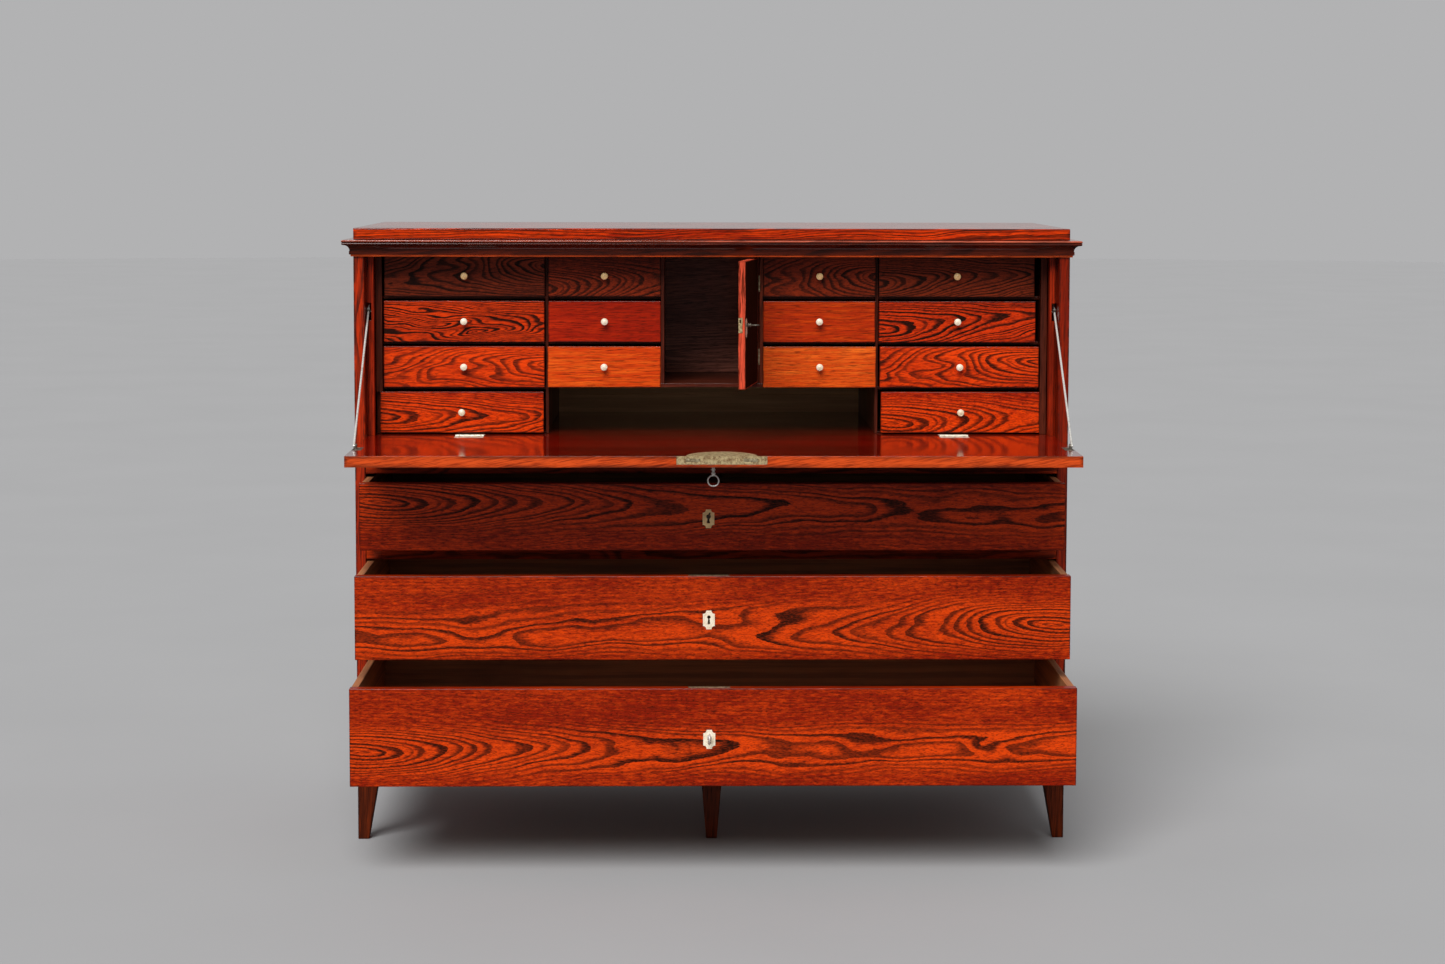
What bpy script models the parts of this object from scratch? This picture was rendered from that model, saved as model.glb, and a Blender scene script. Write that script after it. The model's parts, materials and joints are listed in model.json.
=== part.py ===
"""Fall front secretaire: a chest of three long drawers under a fitted writing compartment.

Metres, +Z up, +X to the viewer's right, +Y into the cabinet. The origin is the centre of the
sole of the middle front foot. Every piece is placed in cabinet coordinates, whose y is measured
from the front plane of the carcass, by an empty called cabinet. The long drawers stand partly
open, the fall lies open on its stays and the little cupboard door stands ajar.
"""
import math

import bmesh
import bpy
from mathutils import Matrix, Vector

# Fits
GAP = 0.0003
OVERRUN = 0.002
ROUND_STEPS = 16
FINE_STEPS = 12
WIRE_STEPS = 20
WIRE_SIDES = 6
SHARP_ANGLE = 35.0

# Carcass
WIDTH = 1.250
DEPTH = 0.500
HEIGHT = 1.080
SIDE_T = 0.0184
BACK_T = 0.0094
TOP_T = 0.0203
CASE_TOP_T = 0.0104
CORNICE_H = 0.0291
CORNICE_OUT = 0.0189
CORNICE_FILLET = 0.0040
CORNICE_FOOT = 0.0035
BEAD_STEPS = 3
COVE_STEPS = 4
FOOT_H = 0.128
FOOT_W = 0.040
FOOT_SOLE = 0.0190
RAIL_DEPTH = 0.045
RAIL_H = 0.0305
BOTTOM_RAIL_H = 0.0295
BOTTOM_T = 0.0180
WAIST_RAIL_H = 0.0453
RUNNER_W = 0.0220

# Writing level and fall
WRITING_Z = 0.715
FALL_T = 0.0187
FALL_HEAD_GAP = 0.0010
FALL_SIDE_GAP = 0.0010
NOSE_T = 0.0101
LIP_STEPS = 6

# Long drawers, lowest first
LONG_NAMES = ("lower", "middle", "upper")
LONG_SHARES = (0.3864, 0.3348, 0.2720)
LONG_PULLS = (0.278, 0.191, 0.111)
LONG_RUN_GAP = 0.0004
LONG_TOP_GAP = 0.0015
LONG_FRONT_T = 0.0200
LONG_LENGTH = 0.455
LONG_SIDE_GAP = 0.0005
LONG_BOARD_T = 0.0120
LONG_BASE_T = 0.0060
LONG_BASE_RISE = 0.0080
LONG_SIDE_DROP = 0.0022

# Gallery
LINING_W = 0.0142
LINING_SETBACK = 0.0202
LINING_DEPTH = 0.0200
GROOVE_W = 0.0052
GROOVE_DEPTH = 0.0100
SLOT_LOW = 0.0157
SLOT_HIGH = 0.0157
SLOT_WALL = 0.0038
GALLERY_SETBACK = 0.0500
GALLERY_SIDE_T = 0.0112
GALLERY_TOP_T = 0.0100
GALLERY_HEADROOM = 0.0070
PARTITION_T = 0.0052
PARTITION_RECESS = 0.0125
NICHE_HALF = 0.0842
NICHE_SIDE_T = 0.0057
NICHE_DEPTH = 0.2620
NICHE_BACK_T = 0.0060
INNER_COLUMN_W = 0.1990
SHELF_T = 0.0065
DIVIDER_T = 0.0055
DIVIDER_RECESS = 0.0260

# Small drawers, top row first
ROWS = 4
ROW_GAP = 0.0083
ROW_BASE_GAP = 0.0030
ROW_TOP_GAP = 0.0011
SMALL_FRONT_T = 0.0100
SMALL_LENGTH = 0.380
SMALL_BOARD_T = 0.0050
SMALL_BASE_T = 0.0030
SMALL_SIDE_DROP = 0.0040
SMALL_INSET = 0.0006
TRIM = 0.0010
# How far each front stops short of its opening, inner edge and outer edge, as shares of TRIM
OUTER_TRIM_SHARES = {
    "left": ((0.6, 4.4), (1.6, 3.5), (1.6, 2.4), (3.2, -4.0)),
    "right": ((0.5, 11.5), (0.8, 9.2), (3.0, 2.6), (5.4, 0.6)),
}
INNER_TRIM_SHARES = ((0.6, 0.7), (0.6, 0.6), (0.6, -1.0))
KNOB_R = 0.0067
KNOB_NECK_R = 0.0034
KNOB_OUT = 0.0140
# Ends of the neck, the flare, the rim and its rounding along the knob, then its last radius
KNOB_ALONG_SHARES = (0.30, 0.45, 0.80, 0.95)
KNOB_DOME_SHARE = 0.80

# Cupboard door; each hinge lies at a share of the length that it can slide along
DOOR_T = 0.0120
DOOR_FOOT_GAP = 0.0031
DOOR_HEAD_GAP = 0.0050
DOOR_LOCK_GAP = 0.0006
DOOR_HINGE_GAP = 0.0022
DOOR_ANGLE = 81.0
DOOR_HINGE_LEN = 0.028
DOOR_HINGE_SHARES = {"lower": 0.16, "upper": 0.84}
DOOR_LEAF_T = 0.0007
DOOR_LEAF_W = 0.0100
DOOR_KNUCKLE_R = 0.0016
DOOR_PIN_R = 0.0007
DOOR_KEYHOLE_IN = 0.0140
DOOR_LOCK_W = 0.0240
DOOR_LOCK_H = 0.0260
DOOR_LOCK_T = 0.0070
DOOR_BOLT_H = 0.0060
DOOR_BOLT_T = 0.0028
DOOR_BOLT_LEN = 0.0070
DOOR_KEY_OUT = 0.0230

# Fall fittings
FALL_HINGE_IN = 0.1806
FALL_HINGE_LEN = 0.050
FALL_LEAF_W = 0.0300
FALL_LEAF_T = 0.0018
FALL_KNUCKLE_R = 0.0024
FALL_PIN_R = 0.0011
KNUCKLE_SHARE = 0.34
LOCK_PLATE_W = 0.1490
LOCK_PLATE_T = 0.0020
LOCK_PLATE_H = 0.0137
LOCK_SHIFT = 0.0120
LOCK_CHORD = 0.1180
LOCK_SAGITTA = 0.0720
LOCK_ARC_STEPS = 14
FALL_BOLT_W = 0.0240
FALL_BOLT_H = 0.0055
FALL_BOLT_LEN = 0.0180
FALL_BOLT_X = 0.0475
FALL_KEY_X = -0.0015
FALL_KEYHOLE_IN = 0.0400
FALL_KEY_OUT = 0.0370

# Stays
STAY_IN = 0.0036
STAY_ROD_R = 0.0018
STAY_TAIL = 0.0170
STAY_SHORT = 0.1144
EAR_HEIGHT = 0.0050
EAR_PLATE_W = 0.0160
EAR_PLATE_LEN = 0.0500
EAR_T = 0.0026
EAR_R = 0.0040
EAR_STEPS = 6
EAR_EYE_R = 0.0035
EAR_EYE_T = 0.0032
ROD_ROOT_SHARE = 0.6
EAR_PIN_R = 0.0011
GUIDE_BACK = 0.0135
GUIDE_R = 0.0033
GUIDE_LEN = 0.0036
GUIDE_PIN_R = 0.0014
COLLAR_R = 0.0027
COLLAR_LEN = 0.0040
RUNNING = 0.0003

# Long drawer fittings
LOCK_W = 0.070
LOCK_T = 0.0100
LOCK_BELOW = 0.0220
SELVEDGE_T = 0.0020
SELVEDGE_W = 0.0150
WARD_R = 0.0100
WARD_DEPTH = 0.0050
ESCUTCHEON_X = -0.0075
ESCUTCHEON_DROP = 0.0015
ESCUTCHEON_W = 0.0200
ESCUTCHEON_H = 0.0320
ESCUTCHEON_T = 0.0020
ESCUTCHEON_CORNER_SHARE = 0.24
KEYHOLE_R = 0.0030
KEYHOLE_FOOT = 0.0125
KEYHOLE_WAIST_W = 0.0026
KEYHOLE_FOOT_W = 0.0046
KEY_SHAFT_R = 0.0026
KEY_COLLAR_R = 0.0037
KEY_COLLAR_LEN = 0.0035
KEY_BOW_R = 0.0095
KEY_WIRE_R = 0.0012
KEY_BIT_H = 0.0070
KEY_BIT_W = 0.0020
KEY_BIT_LEN = 0.0030
LONG_KEY_OUT = 0.0330
KEYED = ("upper", "lower")

# Levels and places that follow from the sizes above
INSIDE = WIDTH / 2 - SIDE_T
BACK_Y = DEPTH - BACK_T
CORNICE_TOP = HEIGHT - TOP_T
CORNICE_LOW = CORNICE_TOP - CORNICE_H
CASE_CEILING = CORNICE_TOP - GAP - CASE_TOP_T
AXIS_Y = FALL_T
FALL_LEN = CASE_CEILING - WRITING_Z - FALL_HEAD_GAP
FALL_HINGE_X = INSIDE - FALL_HINGE_IN
STAY_X = INSIDE - STAY_IN
STAY_REACH = FALL_LEN - STAY_SHORT
WAIST_TOP = WRITING_Z - FALL_T - GAP
WAIST_LOW = WAIST_TOP - WAIST_RAIL_H
BOTTOM_TOP = FOOT_H + BOTTOM_RAIL_H
GALLERY_OUT = INSIDE - LINING_W
COLUMN_OUT = GALLERY_OUT - GALLERY_SIDE_T
COLUMN_IN = NICHE_HALF + NICHE_SIDE_T
PARTITION_IN = COLUMN_IN + INNER_COLUMN_W
PARTITION_OUT = PARTITION_IN + PARTITION_T
GALLERY_CEILING = CASE_CEILING - GALLERY_HEADROOM - GALLERY_TOP_T
ROW_SPACE = GALLERY_CEILING - WRITING_Z - ROW_BASE_GAP - ROW_TOP_GAP - (ROWS - 1) * ROW_GAP
ROW_H = ROW_SPACE / ROWS
ROW_PITCH = ROW_H + ROW_GAP
SHELF_LOW = WRITING_Z + ROW_BASE_GAP + ROW_PITCH + GAP
SHELF_TOP = SHELF_LOW + SHELF_T
LONG_SPACE = (WAIST_LOW - BOTTOM_TOP - 2 * RAIL_H
              - len(LONG_NAMES) * (LONG_RUN_GAP + LONG_TOP_GAP))


def clear_scene():
    """Empties the scene that the script starts in."""
    for item in list(bpy.data.objects):
        bpy.data.objects.remove(item, do_unlink=True)


def material(name, colour, roughness, metallic=0.0):
    """Returns the named Principled material, made once."""
    found = bpy.data.materials.get(name)
    if found:
        return found
    made = bpy.data.materials.new(name)
    made.use_nodes = True
    shader = made.node_tree.nodes["Principled BSDF"]
    shader.inputs["Base Color"].default_value = (*colour, 1.0)
    shader.inputs["Roughness"].default_value = roughness
    shader.inputs["Metallic"].default_value = metallic
    made.diffuse_color = (*colour, 1.0)
    return made


def carcass_wood():
    return material("carcass ash, red stain", (0.36, 0.045, 0.008), 0.22)


def front_wood():
    return material("flame ash fronts, orange stain", (0.48, 0.075, 0.010), 0.20)


def drawer_wood():
    return material("drawer lining softwood", (0.16, 0.055, 0.022), 0.55)


def bone():
    return material("turned bone", (0.84, 0.74, 0.60), 0.35)


def brass():
    return material("aged brass", (0.42, 0.34, 0.20), 0.42, 1.0)


def steel():
    return material("bright steel", (0.62, 0.60, 0.56), 0.28, 1.0)


class Body:
    """A group of pieces that moves as one, carried by an empty.

    pivot is the point of cabinet coordinates that the empty stands for.
    """

    def __init__(self, name, parent=None, at=(0, 0, 0), pivot=None, turn=(0, 0, 0)):
        self.empty = bpy.data.objects.new(name, None)
        bpy.context.scene.collection.objects.link(self.empty)
        self.pivot = Vector(at if pivot is None else pivot)
        offset = Vector(at)
        if parent:
            self.empty.parent = parent.empty
            offset = offset - parent.pivot
        self.empty.location = offset
        self.empty.rotation_euler = turn

    def add(self, name, mesh, finish, smooth=False):
        """Makes a node from a bmesh that is given in cabinet coordinates."""
        bmesh.ops.translate(mesh, verts=mesh.verts, vec=-self.pivot)
        bmesh.ops.recalc_face_normals(mesh, faces=mesh.faces)
        data = bpy.data.meshes.new(name)
        mesh.to_mesh(data)
        mesh.free()
        if smooth:
            data.shade_smooth()
            data.set_sharp_from_angle(angle=math.radians(SHARP_ANGLE))
        node = bpy.data.objects.new(name, data)
        if finish:
            data.materials.append(finish)
        bpy.context.scene.collection.objects.link(node)
        node.parent = self.empty
        return node

    def shape(self, node, mesh, operation):
        """Cuts or joins a node with a helper shape by a Boolean."""
        helper = self.add(f"{node.name}.helper", mesh, None)
        helper.hide_render = True
        helper.display_type = "WIRE"
        change = node.modifiers.new(operation.lower(), "BOOLEAN")
        change.operation = operation
        change.solver = "EXACT"
        change.object = helper

    def cut(self, node, mesh):
        self.shape(node, mesh, "DIFFERENCE")

    def join(self, node, mesh):
        self.shape(node, mesh, "UNION")


def box(mesh, low, high):
    """Adds a box between two corners to a bmesh."""
    low, high = Vector(low), Vector(high)
    size = high - low
    place = Matrix.Translation((low + high) / 2) @ Matrix.Diagonal((*size, 1.0))
    bmesh.ops.create_cube(mesh, size=1.0, matrix=place)


def boxes(*corners):
    """Returns a bmesh of separate boxes, each given by its two corners."""
    mesh = bmesh.new()
    for low, high in corners:
        box(mesh, low, high)
    return mesh


def prism(mesh, outline, axis, start, end):
    """Adds an outline extruded along an axis.

    The outline's points are the two other coordinates in X, Y, Z order.
    """
    order = {"X": (2, 0, 1), "Y": (0, 2, 1), "Z": (0, 1, 2)}[axis]

    def point(pair, depth):
        triple = (pair[0], pair[1], depth)
        return Vector(tuple(triple[index] for index in order))

    ring = [[mesh.verts.new(point(pair, depth)) for pair in outline] for depth in (start, end)]
    count = len(outline)
    mesh.faces.new(ring[0])
    mesh.faces.new(list(reversed(ring[1])))
    for index in range(count):
        following = (index + 1) % count
        mesh.faces.new((ring[0][index], ring[1][index], ring[1][following], ring[0][following]))


def extruded(outline, axis, start, end):
    """Returns a bmesh of one extruded outline."""
    mesh = bmesh.new()
    prism(mesh, outline, axis, start, end)
    return mesh


def turned(mesh, profile, centre, direction, steps=ROUND_STEPS):
    """Adds a solid of revolution.

    profile is a list of (distance along the direction, radius) and starts and ends on the axis
    with a flat end, or with a point where its radius is zero.
    """
    direction = Vector(direction).normalized()
    across = direction.orthogonal().normalized()
    third = direction.cross(across)
    centre = Vector(centre)
    rings = []
    for along, radius in profile:
        middle = centre + direction * along
        if radius == 0:
            rings.append([mesh.verts.new(middle)])
            continue
        ring = []
        for step in range(steps):
            angle = math.tau * step / steps
            offset = across * math.cos(angle) + third * math.sin(angle)
            ring.append(mesh.verts.new(middle + offset * radius))
        rings.append(ring)
    for first, second in zip(rings, rings[1:]):
        for step in range(steps):
            following = (step + 1) % steps
            if len(first) == 1:
                mesh.faces.new((first[0], second[following], second[step]))
            elif len(second) == 1:
                mesh.faces.new((first[step], first[following], second[0]))
            else:
                mesh.faces.new((first[step], first[following], second[following], second[step]))
    if len(rings[0]) > 1:
        mesh.faces.new(list(reversed(rings[0])))
    if len(rings[-1]) > 1:
        mesh.faces.new(rings[-1])


def cylinder(mesh, start, end, radius, steps=ROUND_STEPS):
    """Adds a plain cylinder between two points."""
    run = Vector(end) - Vector(start)
    turned(mesh, [(0, radius), (run.length, radius)], start, run, steps)


def ring(mesh, centre, normal, radius, wire, steps=WIRE_STEPS, sides=WIRE_SIDES):
    """Adds a torus, such as the bow of a key."""
    normal = Vector(normal).normalized()
    across = normal.orthogonal().normalized()
    third = normal.cross(across)
    rows = []
    for step in range(steps):
        angle = math.tau * step / steps
        out = across * math.cos(angle) + third * math.sin(angle)
        row = []
        for side in range(sides):
            tilt = math.tau * side / sides
            offset = out * (radius + wire * math.cos(tilt)) + normal * wire * math.sin(tilt)
            row.append(mesh.verts.new(Vector(centre) + offset))
        rows.append(row)
    for step in range(steps):
        for side in range(sides):
            after, beside = (step + 1) % steps, (side + 1) % sides
            mesh.faces.new((rows[step][side], rows[after][side],
                            rows[after][beside], rows[step][beside]))


def mirrored(*corners):
    """Returns the boxes with their mirror images in X."""
    both = []
    for low, high in corners:
        both.append((low, high))
        both.append(((-high[0], low[1], low[2]), (-low[0], high[1], high[2])))
    return both


def build_carcass(cabinet):
    """Sides, top, cornice, back, base, drawer frames, feet and writing floor."""
    half = WIDTH / 2
    inside = INSIDE - GAP
    wood = carcass_wood()
    for name, sign in (("side_left", -1), ("side_right", 1)):
        near, far = sorted((sign * half, sign * INSIDE))
        cabinet.add(name, boxes(((near, 0, FOOT_H), (far, DEPTH, CORNICE_TOP - GAP))), wood)
    cabinet.add("top_board", boxes(((-half, 0, CORNICE_TOP), (half, DEPTH, HEIGHT))), wood)
    cabinet.add("back_panel", boxes(((-inside, BACK_Y, FOOT_H),
                                     (inside, DEPTH, CORNICE_TOP - GAP))), drawer_wood())
    build_cornice(cabinet)
    build_base(cabinet)
    build_frames(cabinet)
    build_writing_floor(cabinet)


def build_frames(cabinet):
    """Front rails with a runner behind each end: two between the drawers, one under the fall."""
    levels = long_levels()
    tops = {"drawer_frame_lower": levels[1][0] - LONG_RUN_GAP,
            "drawer_frame_upper": levels[2][0] - LONG_RUN_GAP,
            "waist_frame": WAIST_TOP}
    outer, back = INSIDE - GAP, BACK_Y - GAP
    inner = outer - RUNNER_W
    outline = [(-outer, 0), (outer, 0), (outer, back), (inner, back), (inner, RAIL_DEPTH),
               (-inner, RAIL_DEPTH), (-inner, back), (-outer, back)]
    for name, top in tops.items():
        height = WAIST_RAIL_H if name == "waist_frame" else RAIL_H
        cabinet.add(name, extruded(outline, "Z", top - height, top), carcass_wood())


def build_base(cabinet):
    """The base board with its front rail and rear feet, and three separate feet in front."""
    inside, back = INSIDE - GAP, BACK_Y - GAP
    under = BOTTOM_TOP - BOTTOM_T
    outline = [(0, FOOT_H), (RAIL_DEPTH, FOOT_H), (RAIL_DEPTH, under), (back, under),
               (back, BOTTOM_TOP), (0, BOTTOM_TOP)]
    board = cabinet.add("base_board", extruded(outline, "X", -inside, inside), carcass_wood())
    outer = WIDTH / 2 - SIDE_T - FOOT_W / 2 - GAP
    rear_feet = bmesh.new()
    for sign in (-1, 1):
        foot(rear_feet, sign * outer, sign, back - FOOT_W, FOOT_W - FOOT_SOLE, under + OVERRUN)
    cabinet.join(board, rear_feet)
    for name, lean in (("foot_left", -1), ("foot_middle", 0), ("foot_right", 1)):
        mesh = bmesh.new()
        foot(mesh, lean * (WIDTH / 2 - FOOT_W / 2), lean, 0, 0, FOOT_H - GAP)
        cabinet.add(name, mesh, carcass_wood())


def foot(mesh, centre, lean, head_y, sole_shift, top):
    """Adds a square foot that tapers to its sole, away from the side that it leans to."""
    slim = (FOOT_W - FOOT_SOLE) / 2
    low_x = centre - FOOT_SOLE / 2 + lean * slim
    low_y = head_y + sole_shift
    high_x = centre - FOOT_W / 2
    sole, head = [[mesh.verts.new(place) for place in (
        (x, y, level), (x + width, y, level), (x + width, y + width, level), (x, y + width, level))]
        for x, y, width, level in ((low_x, low_y, FOOT_SOLE, 0), (high_x, head_y, FOOT_W, top))]
    mesh.faces.new(list(reversed(sole)))
    mesh.faces.new(head)
    for index in range(4):
        following = (index + 1) % 4
        mesh.faces.new((sole[index], sole[following], head[following], head[index]))


def build_cornice(cabinet):
    """A moulding round the front and both sides, mitred at the corners."""
    half = WIDTH / 2
    bead = CORNICE_TOP - GAP - CORNICE_FILLET
    cove_top = bead - CORNICE_FILLET
    foot = CORNICE_LOW + CORNICE_FOOT
    outline = [(GAP, CORNICE_TOP - GAP), (CORNICE_OUT, CORNICE_TOP - GAP), (CORNICE_OUT, bead)]
    swell = CORNICE_FILLET / 2
    for step in range(BEAD_STEPS):
        angle = math.pi / 2 * (step + 1) / BEAD_STEPS
        outline.append((CORNICE_OUT - swell + swell * math.cos(angle), bead - swell * math.sin(angle)))
    cove_out = CORNICE_OUT - 2 * swell
    reach = cove_out - CORNICE_FOOT
    drop = cove_top - foot
    for step in range(COVE_STEPS + 1):
        angle = math.pi / 2 * step / COVE_STEPS
        outline.append((cove_out - reach * math.sin(angle), foot + drop * math.cos(angle)))
    outline.append((CORNICE_FOOT, CORNICE_LOW))
    outline.append((GAP, CORNICE_LOW))
    mesh = bmesh.new()
    stations = []
    for side_x, side_y, along in ((-1, 0, DEPTH), (-1, -1, 0), (1, -1, 0), (1, 0, DEPTH)):
        stations.append([mesh.verts.new((side_x * (half + out), along + side_y * out, level))
                         for out, level in outline])
    count = len(outline)
    for first, second in zip(stations, stations[1:]):
        for index in range(count):
            following = (index + 1) % count
            mesh.faces.new((first[index], first[following], second[following], second[index]))
    mesh.faces.new(list(reversed(stations[0])))
    mesh.faces.new(stations[-1])
    cabinet.add("cornice", mesh, carcass_wood())


def build_writing_floor(cabinet):
    """The fixed half of the writing surface, cut away beneath its nose for the fall's lip."""
    lip_reach = math.sqrt((FALL_T - GAP) ** 2 - (NOSE_T + GAP) ** 2)
    heel = AXIS_Y + lip_reach + GAP * 2
    front = AXIS_Y + GAP
    back = BACK_Y - GAP
    outline = [(front, WRITING_Z), (back, WRITING_Z), (back, WRITING_Z - FALL_T),
               (heel, WRITING_Z - FALL_T), (heel, WRITING_Z - NOSE_T), (front, WRITING_Z - NOSE_T)]
    inside = INSIDE - GAP
    floor = cabinet.add("writing_floor", extruded(outline, "X", -inside, inside), carcass_wood())
    for sign in (-1, 1):
        cabinet.cut(floor, hinge_pocket(sign, 1))


def long_levels():
    """Returns the bottom and top level of each long drawer front, lowest first."""
    levels = []
    level = BOTTOM_TOP
    for share in LONG_SHARES:
        low = level + LONG_RUN_GAP
        high = low + share * LONG_SPACE
        levels.append((low, high))
        level = high + LONG_TOP_GAP + RAIL_H
    return levels


def keyhole(centre_x, centre_z):
    """Outline of a keyhole: a round head over a flared foot."""
    points = []
    neck = math.asin(KEYHOLE_WAIST_W / 2 / KEYHOLE_R)
    for step in range(FINE_STEPS + 1):
        angle = -math.pi / 2 + neck + (math.tau - 2 * neck) * step / FINE_STEPS
        points.append((centre_x + KEYHOLE_R * math.cos(angle), centre_z + KEYHOLE_R * math.sin(angle)))
    points.append((centre_x - KEYHOLE_FOOT_W / 2, centre_z - KEYHOLE_FOOT))
    points.append((centre_x + KEYHOLE_FOOT_W / 2, centre_z - KEYHOLE_FOOT))
    return points


def escutcheon_outline(centre_x, centre_z, grow=0.0):
    """Outline of a long octagon with the keyhole's head a little above its middle."""
    half_w, half_h = ESCUTCHEON_W / 2 + grow, ESCUTCHEON_H / 2 + grow
    cut = ESCUTCHEON_W * ESCUTCHEON_CORNER_SHARE
    middle = centre_z - KEYHOLE_FOOT / 2 + KEYHOLE_R / 2
    corners = [(half_w - cut, -half_h), (half_w, -half_h + cut), (half_w, half_h - cut),
               (half_w - cut, half_h), (cut - half_w, half_h), (-half_w, half_h - cut),
               (-half_w, cut - half_h), (cut - half_w, -half_h)]
    return [(centre_x + x, middle + z) for x, z in corners]


def build_key(body, name, direction, bit_direction, out, into):
    """A plain key with a wire bow.

    direction points out of the keyhole from the body's pivot, which lies on the face around it.
    """
    direction, bit_direction = Vector(direction), Vector(bit_direction)
    start = body.pivot
    shaft_end = out - 2 * KEY_BOW_R
    mesh = bmesh.new()
    turned(mesh, [(-into, KEY_SHAFT_R), (shaft_end - KEY_COLLAR_LEN, KEY_SHAFT_R),
                  (shaft_end - KEY_COLLAR_LEN, KEY_COLLAR_R), (shaft_end, KEY_COLLAR_R),
                  (shaft_end + KEY_WIRE_R, KEY_SHAFT_R)], start, direction, FINE_STEPS)
    middle = start + direction * (shaft_end + KEY_BOW_R - KEY_WIRE_R / 2)
    across = direction.cross(bit_direction)
    bow = bmesh.new()
    ring(bow, middle, across, KEY_BOW_R - KEY_WIRE_R, KEY_WIRE_R)
    tip = start - direction * into
    bit = bmesh.new()
    reach = bit_direction * (KEY_SHAFT_R + KEY_BIT_H)
    corner_a = tip - across * (KEY_BIT_W / 2)
    corner_b = tip + direction * KEY_BIT_LEN + reach + across * (KEY_BIT_W / 2)
    low = Vector(map(min, corner_a, corner_b))
    high = Vector(map(max, corner_a, corner_b))
    box(bit, low, high)
    node = body.add(name, mesh, steel(), smooth=True)
    body.join(node, bow)
    body.join(node, bit)


def build_long_drawers(cabinet):
    """Three wide drawers with locks, bone escutcheons and two keys left in them."""
    for name, (low, high), pull in zip(LONG_NAMES, long_levels(), LONG_PULLS):
        body = Body(f"slide_{name}", cabinet, at=(0, -pull, 0), pivot=(0, 0, 0))
        half = INSIDE - FALL_SIDE_GAP
        centre_z = (low + high) / 2 + KEYHOLE_FOOT / 4 - ESCUTCHEON_DROP
        front = body.add(f"long_front_{name}", boxes(((-half, 0, low), (half, LONG_FRONT_T, high))),
                         front_wood())
        place = ESCUTCHEON_X
        body.cut(front, extruded(lock_mortise(low, high, centre_z), "X",
                                 place - LOCK_W / 2, place + LOCK_W / 2))
        body.cut(front, extruded(escutcheon_outline(place, centre_z, GAP), "Y",
                                 -OVERRUN, ESCUTCHEON_T + GAP))
        body.cut(front, extruded(keyhole(place, centre_z), "Y",
                                 0, LONG_FRONT_T - LOCK_T + OVERRUN / 2))
        badge = body.add(f"long_escutcheon_{name}",
                         extruded(escutcheon_outline(place, centre_z), "Y", 0, ESCUTCHEON_T), bone())
        body.cut(badge, extruded(keyhole(place, centre_z), "Y", -OVERRUN, ESCUTCHEON_T + OVERRUN))
        build_long_box(body, name, low, high)
        if name in KEYED:
            key = Body(f"turn_{name}", body, at=(place, 0, centre_z))
            build_key(key, f"long_key_{name}", (0, -1, 0), (0, 0, -1), LONG_KEY_OUT,
                      LONG_FRONT_T - LOCK_T + WARD_DEPTH)


def lock_mortise(low, high, keyhole_z):
    """Outline in Y and Z of the place for a lock: its case behind the front, its edge on top."""
    rear, top = LONG_FRONT_T + OVERRUN, high + OVERRUN
    case, edge = LONG_FRONT_T - LOCK_T, LONG_FRONT_T - SELVEDGE_W
    under = high - SELVEDGE_T
    floor = max(keyhole_z - LOCK_BELOW, low + SELVEDGE_T)
    return [(case, floor), (rear, floor), (rear, top), (edge, top), (edge, under), (case, under)]


def build_long_box(body, name, low, high):
    """Two sides, a back and a raised bottom behind a long front, joined into one open box."""
    outer = INSIDE - FALL_SIDE_GAP - LONG_SIDE_GAP
    inner = outer - LONG_BOARD_T
    start, end = LONG_FRONT_T + GAP, LONG_LENGTH
    rim = high - LONG_SIDE_DROP
    base = low + LONG_BASE_RISE
    tray = body.add(f"long_box_{name}", boxes(((-outer, start, low), (outer, end, rim))),
                    drawer_wood())
    hollow = end - LONG_BOARD_T
    body.cut(tray, boxes(((-inner, start - OVERRUN, base + LONG_BASE_T),
                          (inner, hollow, rim + OVERRUN)),
                         ((-inner, start - OVERRUN, low - OVERRUN), (inner, hollow, base))))


def row_level(row):
    """Bottom level of the fronts in a row, where row 0 is the top one."""
    return WRITING_Z + ROW_BASE_GAP + (ROWS - 1 - row) * ROW_PITCH


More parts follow.
